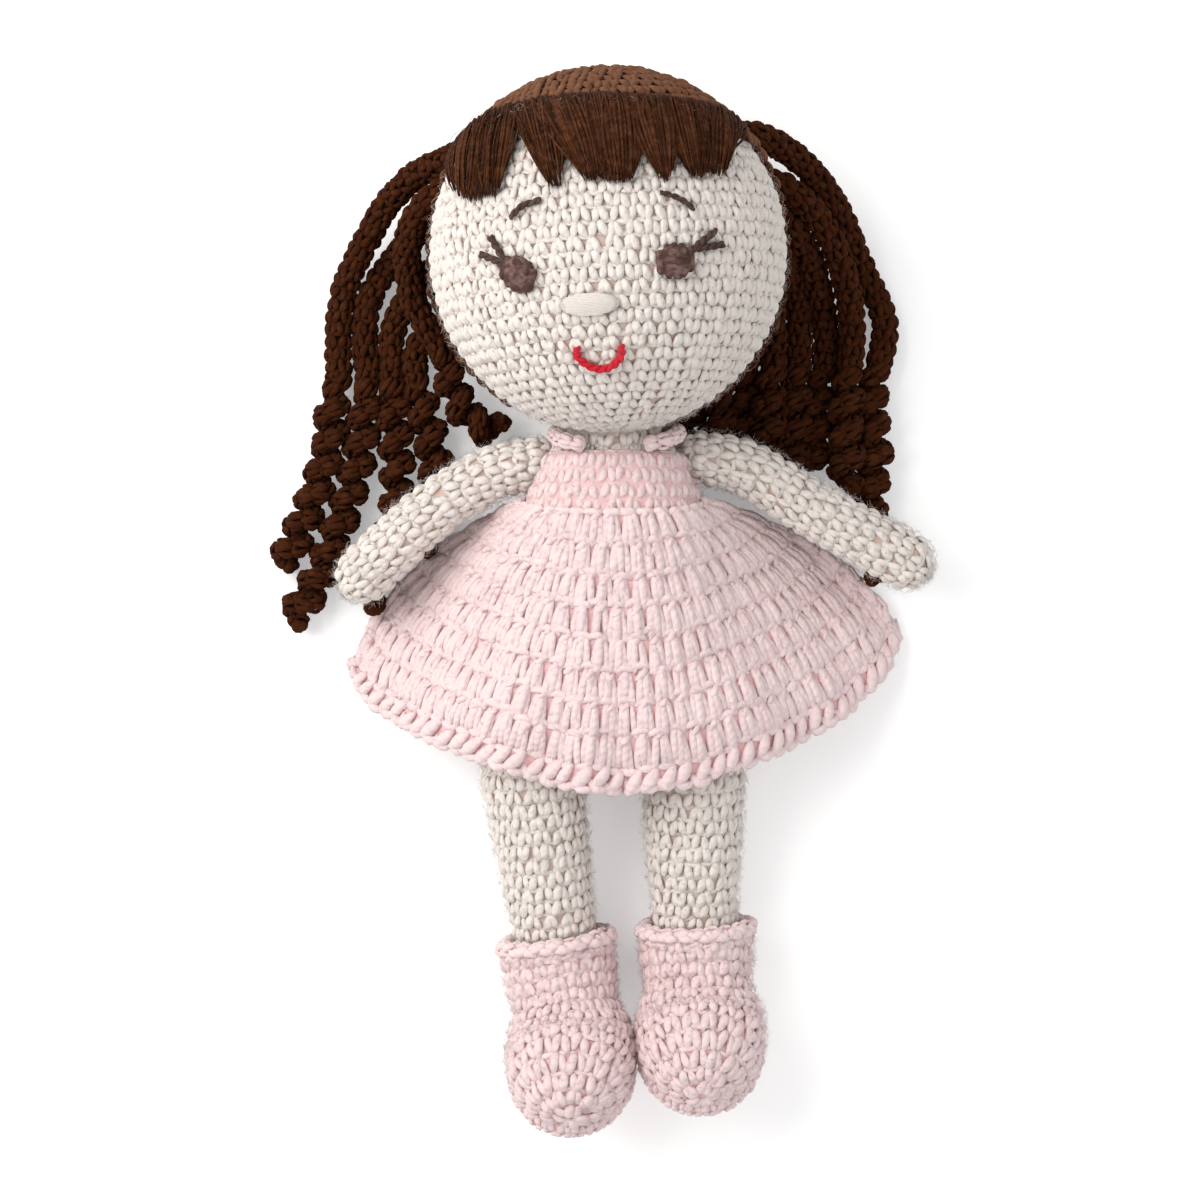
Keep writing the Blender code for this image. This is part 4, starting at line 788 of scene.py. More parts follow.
class Piece:
    """What a dressed part can do with its object: let it ride a body and stand for its nodes."""

    @staticmethod
    def seat(obj: bpy.types.Object, body: Body, *nodes: str) -> bpy.types.Object:
        """Let obj ride the body and stand for the nodes."""
        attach(obj, body.value)
        if nodes:
            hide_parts(*nodes)
        return obj


@dataclass
class StuffedLimb(Piece):
    """An arm, a leg or the neck: a skin of single crochet worked in rounds along a bent line."""

    node: str
    body: Body
    line: Rows
    seed: int
    fill: float = 0.85
    others: tuple[str, ...] = ()
    fibres_a_metre: float = 26000

    def build(self) -> bpy.types.Object:
        """Lay the skin and its stitches."""
        line = placed(self.line)
        surface = Limb(line, YARN_DEPTH)
        skin = make_piece(self.node + "_skin", skin_mesh(Limb(line, SKIN_DEPTH), 40, 60), CREAM)
        laid = worked(surface, surface.cells(STITCH_HEIGHT, STITCH_WIDTH), SINGLE, self.seed)
        laid = laid.joined(fuzz(surface, round(surface.length * self.fibres_a_metre), self.seed))
        yarn = make_piece(self.node + "_stitches", laid.above_table(), CREAM)
        self.seat(skin, self.body, self.node, *self.others)
        self.seat(yarn, self.body)
        return skin


CAP_EDGE = tenths(((-300, -60), (100, -60), (240, -20), (290, 100), (345, 310), (395, 400)))
CAP_BACK = tenths(((-600, -180), (-460, -180), (-300, -60)))


def under_cap(points: Array) -> Array:
    """True where a point of the head lies on the hair's side of the cap's edge."""
    local = points - HEAD_CENTRE
    up = local[..., 1]
    return local[..., 2] < np.where(up < CAP_BACK[-1, 0], read_off(CAP_BACK, up), read_off(CAP_EDGE, up))


def bare(points: Array) -> Array:
    """True where the head isn't under the cap, or only just."""
    lap = 0.004
    return ~under_cap(points + np.array((0, 0, lap)))


def capped(points: Array) -> Array:
    """True where the cap shows above the table."""
    return under_cap(points) & (points[..., 2] > 0.0)


@dataclass
class Head(Piece):
    """The ball head: cream rounds, the brown cap and the fringe.

    Each lock has its left and right edge at the seam, the same at its tip, and how far its strands lean across.
    The tables are in tenths of a millimetre.
    """

    seam: Rows = ((-425, 215), (-375, 295), (-270, 325), (-150, 335), (-40, 340), (80, 338), (200, 335), (300, 325),
                  (365, 300))
    tips: Rows = ((-430, 170), (-390, 120), (-347, 98), (-310, 102), (-274, 115), (-254, 180), (-240, 234),
                  (-213, 275), (-185, 209), (-148, 122), (-120, 116), (-105, 199), (-61, 138), (-4, 130), (58, 130),
                  (97, 185), (120, 150), (146, 133), (177, 175), (205, 150), (248, 151), (294, 166), (328, 279))
    locks: Rows = ((-408, -290, -400, -310, 16), (-330, -236, -325, -262, 12), (-222, -128, -170, -108, -14),
                   (-160, -20, -88, -12, -34), (-60, 100, -30, 72, -30), (70, 186, 108, 164, -30),
                   (150, 290, 188, 256, -28), (240, 365, 240, 328, -12))
    taper: tuple[float, ...] = (0.40, 0.44, 0.46, 0.46, 0.46, 0.44, 0.42, 0.38, 0.32, 0.16)
    spacing: float = 0.00034
    strays: int = 260
    loose: int = 34

    def build(self) -> None:
        """Work the head and everything sewn to it."""
        ball = Ball(HEAD_CENTRE, HEAD_RADIUS - YARN_DEPTH, HEAD_POLE)
        under = Ball(HEAD_CENTRE, HEAD_RADIUS - SKIN_DEPTH, HEAD_POLE)
        skin = make_piece("head_skin", skin_mesh(under, 72, 40), CREAM)
        self.seat(skin, Body.HEAD, "head_shell", "head_stuffing")
        edges = np.linspace(0.02, 0.985, round(math.pi * HEAD_RADIUS / STITCH_HEIGHT) + 1)
        girths = [TAU * HEAD_RADIUS * math.sin(math.pi * 0.5 * (a + b)) for a, b in zip(edges, edges[1:])]
        yarn = worked(ball, rounds(edges, girths, STITCH_WIDTH), SINGLE, 3, keep=bare)
        yarn = yarn.joined(fuzz(ball, 6500, 3, keep=bare, v_range=(0.05, 0.98)))
        self.seat(make_piece("head_stitches", yarn, CREAM), Body.HEAD)
        self.cap(edges, girths)
        self.fringe()
        self.loose_fibres()

    def cap(self, edges: Array, girths: Sequence[float]) -> None:
        """The hair cap: the same rounds in brown, over the back and the crown, with painted shade that darkens it
        towards the neck.
        """
        thick, dark_to, fades_over = 0.0008, 0.004, 0.030
        ball = Ball(HEAD_CENTRE, CAP_RADIUS - thick, HEAD_POLE)
        data = skin_mesh(Ball(HEAD_CENTRE, CAP_RADIUS - 0.0012, HEAD_POLE), 96, 60)
        quads = data.faces[0]
        inner = data.verts - unit(data.verts - HEAD_CENTRE) * thick
        data = shell_of(data.verts, inner, quads[under_cap(data.verts[quads].mean(axis=1))])
        self.seat(make_piece("hair_cap_skin", data, BROWN), Body.HEAD, "hair_cap")
        cells = rounds(edges, [g * CAP_RADIUS / HEAD_RADIUS for g in girths], STITCH_WIDTH, start=0.01)
        yarn = worked(ball, cells, SINGLE, 4, keep=capped).joined(self.crown())
        # Painted shade: the cap's stitches go darker towards the neck, as if in shadow.
        yarn.lift *= np.clip((yarn.verts[:, 1] - HEAD_CENTRE[1] - dark_to) / fades_over, 0.08, 1.0)
        self.seat(make_piece("hair_cap_stitches", yarn.above_table(0.0), BROWN), Body.HEAD)

    def crown(self) -> MeshData:
        """The closed ring of yarn at the middle of the cap, where the rounds begin."""
        wide = 0.075
        across, along, pole = Ball(HEAD_CENTRE, CAP_RADIUS, HEAD_POLE).axes()
        reach = np.linspace(0, wide, 5)[:, None, None]
        turn = (TAU * np.arange(20) / 20)[None, :, None]
        away = unit(pole + reach * (across * np.cos(turn) + along * np.sin(turn)))
        return dome_mesh(HEAD_CENTRE + away * (CAP_RADIUS - 0.0004 - 0.0012 * (reach / wide) ** 2), away)

    def strands(self, lock: Array, layer: int, rng: np.random.Generator) -> tuple[Array, Array, Array]:
        """One layer of a lock's satin stitches, drawn together from the seam to the tip.

        Each runs straight in plan, and bows and sways by 4 t (1 - t). A lock is plump in its middle.

        Args:
            lock: its edges at the seam and at the tip, and its lean.
            layer: 0 for the lower layer, 1 for the upper.
            rng: the small differences.

        Returns:
            Each strand's plan, its heights over the head and its radii.
        """
        left, right, tip_left, tip_right, lean = lock
        t, count = np.linspace(0, 1, len(self.taper)), round((right - left) / self.spacing)
        share = (np.arange(count) + 0.5) / count + rng.normal(0, 0.012, count)
        inside = np.clip(share, 0, 1)
        outward = 2 * share - 1
        top_x = left + (right - left) * share + lean + rng.normal(0, 0.0007, count)
        top_x = np.clip(top_x, self.locks[0][0] * TENTH, self.locks[-1][1] * TENTH)
        low_x = tip_left + (tip_right - tip_left) * inside
        round_end = 0.0022 * np.abs(outward) ** 3 + rng.uniform(-0.0004, 0.0008 + 0.0008 * layer, count)
        top = np.stack([top_x, read_off(tenths(self.seam), top_x) + 0.0026], axis=1)
        low = np.stack([low_x, read_off(tenths(self.tips), low_x) + round_end], axis=1)
        plan = top[:, None] + (low - top)[:, None] * t[None, :, None]
        bow = outward[:, None] * 0.10 * (right - left)
        sway = rng.normal(0, 0.00075, (count, 1)) + 0.00035 * np.sin(share * 23 + left * 900)[:, None]
        plan[..., 0] += (bow + sway) * t * (1 - t) * 4
        plump = 0.0007 + 0.0010 * (1 - (2 * inside - 1)[:, None] ** 2)
        height = 0.0008 + 0.0006 * layer + plump * np.sin(np.pi * np.clip(0.12 + t * 0.90, 0, 1)) ** 0.7
        height = height + rng.uniform(0, 0.0010, (count, 1))
        return plan, height, rng.uniform(0.55, 0.95, (count, 1)) * np.array(self.taper) * MM

    def fringe(self) -> None:
        """Long satin stitches from the cap's seam to the fringe's jagged edge, and a few strays over them."""
        rng = np.random.default_rng(7)
        laid = [self.strands(lock, layer, rng) for layer in (0, 1) for lock in tenths(self.locks)]
        plan, height, radii = (np.concatenate(part) for part in zip(*laid))
        normals = on_head(plan, HEAD_RADIUS)
        points = HEAD_CENTRE + normals * (HEAD_RADIUS + height)[..., None]
        data = sweep(points, radii, normals, 6, 0.9, 7)
        data.lift *= np.repeat(rng.uniform(0.25, 1.0, len(points)), len(data.lift) // len(points))
        pick = rng.choice(len(points), self.strays)
        k = points.shape[1]
        astray = rng.normal(0, 0.0007, (self.strays, 1, 3)) * np.linspace(0.3, 1.0, k)[None, :, None]
        stray = points[pick] + astray + normals[pick] * 0.0006
        data = data.joined(sweep(stray, np.full((self.strays, k), 0.06 * MM), normals[pick], 3, 1.0, 9))
        self.seat(make_piece("fringe_strands", data, FRINGE_BROWN), Body.HEAD, "fringe")

    def loose_fibres(self) -> None:
        """The seam's few pale fibres that lie loose along the top of the fringe."""
        rng, size, t = np.random.default_rng(8), (self.loose, 1), np.linspace(0, 1, 8)
        x = rng.uniform(-0.041, 0.034, size) + t * rng.uniform(0.0015, 0.0050, size) * rng.choice((-1, 1), size)
        y = read_off(tenths(self.seam), x) + 0.0018 + rng.normal(0, 0.0006, size)
        y += rng.uniform(-0.0014, 0.0014, size) * np.sin(t * rng.uniform(2, 8, size))
        normals = on_head(np.stack([x, y], axis=-1), CAP_RADIUS)
        points = HEAD_CENTRE + normals * (CAP_RADIUS + 0.0006)
        data = sweep(points, np.full(x.shape, 0.07 * MM), normals, 4, 1.0, 8)
        self.seat(make_piece("seam_fibres", data, LOOSE_FIBRE), Body.HEAD)


@dataclass
class Face(Piece):
    """Eyes, lashes, brows, nose and mouth, stitched on the head's ball."""

    eyes: tuple[tuple[str, float, float, float], ...] = (
        ("eye_left", -0.0229, -0.0096, -0.35), ("eye_right", 0.0169, -0.0066, 0.25))
    mouth: Rows = ((-82, -285), (-76, -313), (-35, -337), (3, -335), (32, -310), (34, -281))
    brow_left: Rows = ((-255, 47), (-224, 76), (-192, 85), (-174, 92))
    brow_right: Rows = ((133, 108), (171, 99), (203, 83), (221, 65))
    lashes_left: tuple[Rows, ...] = (((-262, -74), (-335, -40)), ((-262, -74), (-308, 4)))
    lashes_right: tuple[Rows, ...] = (((216, -36), (279, 17)), ((216, -36), (300, -17)))
    twist: float = 0.0046

    def pad(self, name: str, at: tuple[float, float], half: tuple[float, float], leans: Sequence[float],
            strokes: int, finish: YarnFinish, bulge: float) -> None:
        """An oval of laid yarn over a low pad: layers of strokes side by side, each layer crossing the last.

        Args:
            name: the node that it stands for.
            at: its middle in the face's plan.
            half: its half width and half height.
            leans: each layer's angle.
            strokes: how many strokes a layer has.
            finish: its yarn.
            bulge: how far its middle stands off the head.
        """
        centre, blunt = head_point(*at), 2.4
        out = unit(centre - HEAD_CENTRE)
        level = unit(np.cross((0.0, 1.0, 0.0), out))
        upright = np.cross(out, level)
        ring = np.linspace(0, 1, 6)[:, None, None]
        turn = (TAU * np.arange(28) / 28)[None, :, None]
        spot = centre + ring * 0.93 * (level * half[0] * np.cos(turn) + upright * half[1] * np.sin(turn))
        away = unit(spot - HEAD_CENTRE)
        data = dome_mesh(HEAD_CENTRE + away * (HEAD_RADIUS + 0.0002 + bulge * (1 - ring**2)), away)
        place, t = (np.arange(strokes) + 0.5) / strokes * 2 - 1, np.linspace(-1, 1, 9)
        for layer, lean in enumerate(leans):
            size, cos, sin = 1.0 - 0.14 * layer, math.cos(lean), math.sin(lean)
            first, second = level * cos + upright * sin, upright * cos - level * sin
            long, short = size / math.hypot(cos / half[0], sin / half[1]), size / math.hypot(sin / half[0], cos / half[1])
            reach = long * (1 - np.abs(place) ** blunt) ** (1 / blunt)
            flat = centre + first * (reach[:, None] * t)[..., None] + second * (place * short)[:, None, None]
            normals = unit(flat - HEAD_CENTRE)
            dome = np.clip(1 - (t[None] * reach[:, None] / long) ** 2 * 0.6 - (place[:, None]) ** 2 * 0.4, 0, 1)
            height = HEAD_RADIUS + 0.0004 + (bulge + 0.0006 * layer) * dome
            points = HEAD_CENTRE + normals * height[..., None]
            ends = np.clip(1.15 - np.abs(t) ** 6 * 0.6, 0.3, 1.1)
            data = data.joined(sweep(points, short / strokes * 1.25 * ends * np.ones((strokes, 1)), normals, 7, 0.9,
                                     11 + layer))
        self.seat(make_piece(name + "_yarn", data, finish), Body.HEAD, name)

    def yarn(self, name: str, lines: Sequence[Rows], diameter: float, finish: YarnFinish = LASH_BROWN) -> None:
        """Two plies twisted about each plan line on the face.

        Args:
            name: the node that it stands for.
            lines: the plan lines, in tenths of a millimetre.
            diameter: of the two plies together.
            finish: the yarn.
        """
        made, steps = [], 60
        for line in lines:
            path = smooth_line([head_point(a, b, HEAD_RADIUS + 0.0007 + 0.35 * diameter) for a, b in tenths(line)], steps)
            normals = unit(path - HEAD_CENTRE)
            side = unit(np.cross(np.gradient(path, axis=0), normals))
            turn = np.linspace(0, TAU * travelled(path)[-1] / self.twist, steps)[:, None]
            radii = np.full(steps, 0.32 * diameter)
            radii[[0, -1]] *= 0.6
            for half in (0, np.pi):
                ply = path + 0.24 * diameter * (side * np.cos(turn + half) + normals * np.sin(turn + half))
                made.append(sweep(ply[None], radii[None], normals[None], 7, 1.0, 5))
        data = made[0]
        for more in made[1:]:
            data = data.joined(more)
        self.seat(make_piece(name + "_yarn", data, finish), Body.HEAD, name)

    def build(self) -> None:
        """Stitch the face."""
        for name, x, y, lean in self.eyes:
            self.pad(name, (x, y), (0.0049, 0.0045), (lean + 1.45, lean + 0.55, lean - 0.35), 5, EYE_BROWN, 0.0012)
        self.pad("nose", (-0.0048, -0.0175), (0.0077, 0.0029), (0.05,), 15, NOSE_CREAM, 0.0014)
        self.yarn("mouth", (self.mouth,), 0.0021, RED)
        self.yarn("brow_left", (self.brow_left,), 0.0017)
        self.yarn("brow_right", (self.brow_right,), 0.0015)
        self.yarn("lashes_left", self.lashes_left, 0.0019)
        self.yarn("lashes_right", self.lashes_right, 0.0019)


@dataclass
class HairStrand(Piece):
    """A crocheted strand: a thick cord from the cap, then a corkscrew of thinner cord."""

    node: str
    route: Rows
    curl_from: float
    seed: int
    diameter: float = 0.0085
    curl_diameter: float = 0.0068
    curl_radius: float = 0.0026
    curl_pitch: float = 0.0082
    stitch_height: float = 0.0036
    stitch_width: float = 0.0038

    def path(self) -> Array:
        """The centre line with its radius: straight, then round a helix that grows from nothing."""
        line = smooth_line(placed(self.route), 300)
        gone = travelled(line)
        _, across, up = carried_frames(line)
        past = np.clip(gone - self.curl_from * gone[-1], 0, None)
        grow = np.clip(past / self.curl_pitch, 0, 1)
        turn = (TAU * past / self.curl_pitch)[:, None]
        centres = line + self.curl_radius * grow[:, None] * (across * np.cos(turn) + up * np.sin(turn))
        thinned = np.clip(past / (0.6 * self.curl_pitch), 0, 1)
        radius = 0.5 * (self.diameter + (self.curl_diameter - self.diameter) * thinned)
        centres[:, 2] = np.maximum(centres[:, 2], radius + 0.0003)
        return np.hstack([centres, radius[:, None]])

    def build(self) -> None:
        """Lay the cord and its stitches, and hide the node that they stand for."""
        path = self.path()
        surface = Limb(path, 0.0010, 600)
        skin = make_piece(self.node + "_cord", skin_mesh(Limb(path, 0.0013, 400), 10, 320), HAIR_BROWN)
        cells = surface.cells(self.stitch_height, self.stitch_width, slip=0.3)
        yarn = make_piece(self.node + "_stitches", worked(surface, cells, SINGLE, self.seed, 0.85), HAIR_BROWN)
        for obj in (skin, yarn):
            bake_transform(obj)
        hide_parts(self.node)


BODY_MIDDLE_X = -0.0055

# Down the body: the height of its middle, half its width and half its depth at each y.
BODY_SECTIONS = tenths((
    (-560, 200, 450, 182), (-430, 225, 450, 195), (-330, 240, 450, 207), (-240, 245, 425, 206), (-175, 250, 345, 205),
    (-60, 255, 315, 205), (80, 265, 280, 200), (220, 280, 245, 190), (340, 300, 210, 170), (420, 315, 170, 140)))

# The skirt's outline in plan: the hem as x, y and each side fold as y, x.
HEM_LINE = tenths((
    (-795, -215), (-730, -300), (-600, -375), (-455, -430), (-203, -510), (-7, -530), (189, -500), (413, -415),
    (600, -320), (720, -200), (755, -110)))
SIDE_LEFT = tenths(((-600, -860), (-215, -795), (25, -635), (270, -420), (330, -290)))
SIDE_RIGHT = tenths(((-600, 850), (-110, 755), (20, 600), (150, 470), (255, 355), (330, 195)))
CLOTH_GAP = 0.0014
TABLE_LAYER = 0.0023


def body_at(y: Array) -> tuple[Array, Array, Array]:
    """Height of the middle, half width and half depth under the cloth at y."""
    return tuple(read_off(BODY_SECTIONS, y, column) for column in (1, 2, 3))


def side_fold(y: Array) -> Array:
    """How high the cloth's side fold lies at y: on the table at the hem, and higher to the waist."""
    return 0.0035 + 0.0075 * np.clip((y - 0.005) / 0.024, 0, 1)


def drape_height(x: Array, y: Array) -> Array:
    """Taut cloth: over the body's ellipse, then down the tangent line to the side fold."""
    middle, half_x, half_z = body_at(y)
    half_x, half_z = half_x + CLOTH_GAP, half_z + CLOTH_GAP
    side = np.where(x < BODY_MIDDLE_X, read_off(SIDE_LEFT, y), read_off(SIDE_RIGHT, y))
    reach, away, fold = np.abs(side - BODY_MIDDLE_X), np.abs(x - BODY_MIDDLE_X), side_fold(y)
    a, b = reach / half_x, (fold - middle) / half_z
    size = np.hypot(a, b)
    touch = np.arctan2(b, a) + np.arccos(1 / np.maximum(size, 1.0001))
    touch_x, touch_z = half_x * np.cos(touch), middle + half_z * np.sin(touch)
    over = middle + half_z * np.sqrt(np.maximum(1 - (away / half_x) ** 2, 0))
    share = np.clip((away - touch_x) / np.maximum(reach - touch_x, 1e-6), 0, 1)
    return np.where((size <= 1.0) | (away <= touch_x), over, touch_z + (fold - touch_z) * share)


def back_height(x: Array, y: Array) -> Array:
    """The back layer: behind the body, then flat on the table."""
    middle, half_x, half_z = body_at(y)
    away = np.clip(np.abs(x - BODY_MIDDLE_X) / (half_x + CLOTH_GAP), 0, 1)
    behind = middle - (half_z + CLOTH_GAP) * np.sqrt(1 - away**2)
    return np.maximum(TABLE_LAYER, np.where(y > 0, np.minimum(behind, side_fold(y)), TABLE_LAYER))


@dataclass
class Skirt(Piece):
    """The flared skirt: one loop of cloth round the hips, rows of tall stitches, and an edging.
    """

    top_y: float = 0.0270
    top_sag: float = 0.0030
    side_bulge: float = 0.0080
    rows: int = 8
    edging_from: float = 0.915
    stitch_width: float = 0.0050
    fold_start: Point = (0.0, -0.0100, 0.0470)
    fold_end: Point = (0.0, -0.0181, 0.0539)

    def plan(self, u: Array, v: Array) -> tuple[Array, Array, Array]:
        """Where the loop lies in plan: the waist and the hem joined by straight lines that bulge at the sides.

        Args:
            u: how far round the loop, its first half the front and its second the back.
            v: how far down.

        Returns:
            The plan points, the turn from the middle, and whether each is on the front.
        """
        u = np.mod(u, 1.0)
        front = u < 0.5
        share = np.where(front, 2 * u, 2 - 2 * u)
        turn = np.pi * (share - 0.5)
        half_x = body_at(np.array(self.top_y))[1] + 0.0012
        top = np.stack([BODY_MIDDLE_X + half_x * np.sin(turn), self.top_y - self.top_sag * np.cos(turn)], axis=-1)
        v = np.where(front, v, 0.97 * v)[..., None]
        place = share * (len(HEM_LINE) - 1)
        hem = np.stack([np.interp(place, np.arange(len(HEM_LINE)), HEM_LINE[:, i]) for i in (0, 1)], axis=-1)
        bulge = np.stack([np.sin(turn), 0.6 + 0 * turn], axis=-1) * 4 * v * (1 - v)
        bulge = bulge * (self.side_bulge * np.abs(np.sin(turn)) ** 3)[..., None]
        return top * (1 - v) + hem * v + bulge, turn, front

    def point(self, u: Array, v: Array, out: float) -> Array:
        """The cloth's place, pushed out by out, with waves that grow to the hem."""
        spot, turn, front = self.plan(u, v)
        x, y = spot[..., 0], spot[..., 1]
        wave = 0.0012 * np.cos(9 * (turn + np.pi / 2) * 2) + 0.0007 * np.sin(23 * turn)
        high = drape_height(x, y) + v**2 * np.abs(np.cos(turn)) * wave
        low = np.minimum(back_height(x, y), high - 0.0003)
        z = np.where(front, high + out * np.cos(turn), low - out * np.minimum(1, 3 * np.cos(turn)))
        return np.stack([x + np.sin(turn) * out, y, np.maximum(z, 0.0004)], axis=-1) + SHIFT

    def yarn_base(self, u: Array, v: Array) -> Array:
        """The skin that the stitches are laid on."""
        return self.point(u, v, 0.0009)

    def core(self, u: Array, v: Array) -> Array:
        """A point between the layers."""
        here = self.point(u, v, 0.0)
        here[..., 2] -= np.where(self.plan(u, v)[2], 0.02, -0.02)
        return here

    def even_cells(self, middle: float, height: float, width: float, number: int) -> Cells:
        """Stitches of even width round the loop.

        Args:
            middle: the row's v.
            height: how tall it is, in v.
            width: a stitch's width.
            number: the row's number, which sets where it begins.

        Returns:
            The row's cells.
        """
        grid = np.append(np.arange(0, 1, 0.002), 1.0)
        gone = travelled(self.point(grid, np.full(len(grid), middle), 0.0))
        count = round(gone[-1] / width)
        u = np.interp((np.arange(count) + 0.37 * (number % 3)) / count * gone[-1], gone, grid)
        du = np.gradient(np.append(u, u[0] + 1.0))[:-1]
        return Cells(u, np.full(count, middle), np.clip(du, 0.002, 0.08), np.full(count, height))

    def build(self) -> None:
        """Lay the cloth, its rows and its edging."""
        columns, levels = 128, 60
        v, u = np.meshgrid(np.linspace(0, 1, levels + 1), np.arange(columns) / columns, indexing="ij")
        outer, inner = (self.point(u, v, out).reshape(-1, 3) for out in (0.0011, 0.0002))
        data = shell_of(outer, inner, ring_quads(levels, columns)[:, [0, 3, 2, 1]], 0.30)
        cloth = make_piece("skirt_cloth", data, PINK)
        surface, band = Formula(self.yarn_base, self.core), self.edging_from
        edges = np.linspace(0.0, band, self.rows + 1)
        front = None
        for number, (a, b) in enumerate(zip(edges, edges[1:])):
            cells = self.even_cells(0.5 * (a + b), b - a, self.stitch_width, number)
            row = worked(surface, cells, DOUBLE, 30 + number)
            front = row if front is None else front.joined(row)
        front = front.joined(fuzz(surface, 4500, 29, 0.0030, 0.0016))
        yarn = make_piece("skirt_stitches", front.above_table(), PINK)
        cells = self.even_cells(0.5 * (band + 1.0), 1.0 - band, STITCH_WIDTH, 3)
        hem = make_piece("skirt_edging", worked(surface, cells, EDGE, 51, 1.1).above_table(), PINK)
        for obj in (cloth, yarn, hem):
            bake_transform(obj)
        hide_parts("skirt")
        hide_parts("skirt_hem")
        area = data.area() / 2
        LOG.info("skirt cloth area %.4f m2", area)


@dataclass
class Tube(Surface):
    """The body's skin between two heights, pushed out."""

    out: float
    low: float
    high: float
    core_out: float = -0.0140

    def pushed(self, u: Array, v: Array, out: float) -> Array:
        """The body's ellipse at the height that v gives."""
        y = self.high + (self.low - self.high) * v
        middle, half_x, half_z = body_at(y)
        turn = TAU * u
        x, z = BODY_MIDDLE_X + (half_x + out) * np.cos(turn), middle + (half_z + out) * np.sin(turn)
        return np.stack(np.broadcast_arrays(x, y, z), axis=-1) + SHIFT

    def point(self, u: Array, v: Array) -> Array:
        """The skin's place."""
        return self.pushed(u, v, self.out)

    def core(self, u: Array, v: Array) -> Array:
        """A place inside the body."""
        return self.pushed(u, v, self.core_out)


@dataclass
class Bodice(Piece):
    """The body under the dress, the dress's yoke and the strap round the neck."""

    strap: Rows = (
        (-150, 428, 470), (-185, 436, 448), (-208, 449, 385), (-216, 462, 300), (-200, 464, 200), (-140, 465, 135),
        (-50, 465, 115), (40, 465, 135), (105, 470, 200), (125, 468, 300), (118, 453, 385), (90, 438, 448),
        (50, 428, 470))
    strap_radius: float = 0.0021
    arms: Rows = ((-272, 380, 270), (190, 396, 270))
    armhole: float = 0.0100
    girth: float = TAU * 0.022
    body_ends: tuple[float, float] = (-0.017, 0.043)
    yoke_ends: tuple[float, float] = (0.0236, 0.0405)
    hips: Rows = ((-277, -330, 240, 175), (143, -330, 240, 175))

    def clear(self, points: Array) -> Array:
        """True outside the armholes."""
        apart = np.linalg.norm(points[..., None, :] - placed(tenths(self.arms)), axis=-1)
        return np.min(apart, axis=-1) > self.armhole

    def build(self) -> None:
        """Work the body, the yoke, the strap and the hips."""
        self.torso()
        self.yoke()
        self.neck_strap()
        StuffedLimb("hips", Body.LEGS, tenths(self.hips), 64).build()

    def torso(self) -> None:
        """The body's skin under the dress, and its stitches."""
        body, rows = Tube(-0.0004, *self.body_ends), 15
        torso = make_piece("torso_skin", skin_mesh(body, 48, 24), CREAM)
        self.seat(torso, Body.TORSO, "torso_shell", "torso_stuffing")
        cells = rounds(np.linspace(0, 1, rows + 1), [self.girth] * rows, STITCH_WIDTH)
        self.seat(make_piece("torso_stitches", worked(body, cells, SINGLE, 61, 0.6), CREAM), Body.TORSO)

    def yoke(self) -> None:
        """The dress's top: a thin shell with two armholes, and its stitches."""
        levels, around, rows = 16, 72, 4
        v, u = np.meshgrid(np.linspace(0, 1, levels + 1), np.arange(around) / around, indexing="ij")
        outer, inner = (Tube(out, *self.yoke_ends).point(u, v).reshape(-1, 3) for out in (0.0016, 0.0006))
        quads = ring_quads(levels, around)
        data = shell_of(outer, inner, quads[self.clear(outer[quads].mean(axis=1))], 0.34)
        self.seat(make_piece("yoke_cloth", data, PINK), Body.TORSO, "dress_yoke")
        yoke = Tube(0.0014, *self.yoke_ends)
        cells = rounds(np.linspace(0, 1, rows + 1), [self.girth] * rows, STITCH_WIDTH, start=0.03)
        yarn = worked(yoke, cells, SINGLE, 62, keep=self.clear).joined(fuzz(yoke, 1500, 62, keep=self.clear))
        self.seat(make_piece("yoke_stitches", yarn, PINK), Body.TORSO)

    def neck_strap(self) -> None:
        """The strap round the neck: a cord and its stitches."""
        line = placed([(*p, self.strap_radius) for p in tenths(self.strap)])
        band = Limb(line, 0.0004, 160)
        cord = make_piece("strap_cord", skin_mesh(Limb(line, 0.0009, 120), 10, 100), PINK)
        self.seat(cord, Body.TORSO, "neck_strap")
        rows = round(band.length / 0.0042)
        cells = rounds(np.linspace(0, 1, rows + 1), [0.014] * rows, 0.0036, 0.1)
        self.seat(make_piece("strap_stitches", worked(band, cells, SINGLE, 63, 0.75), PINK), Body.TORSO)


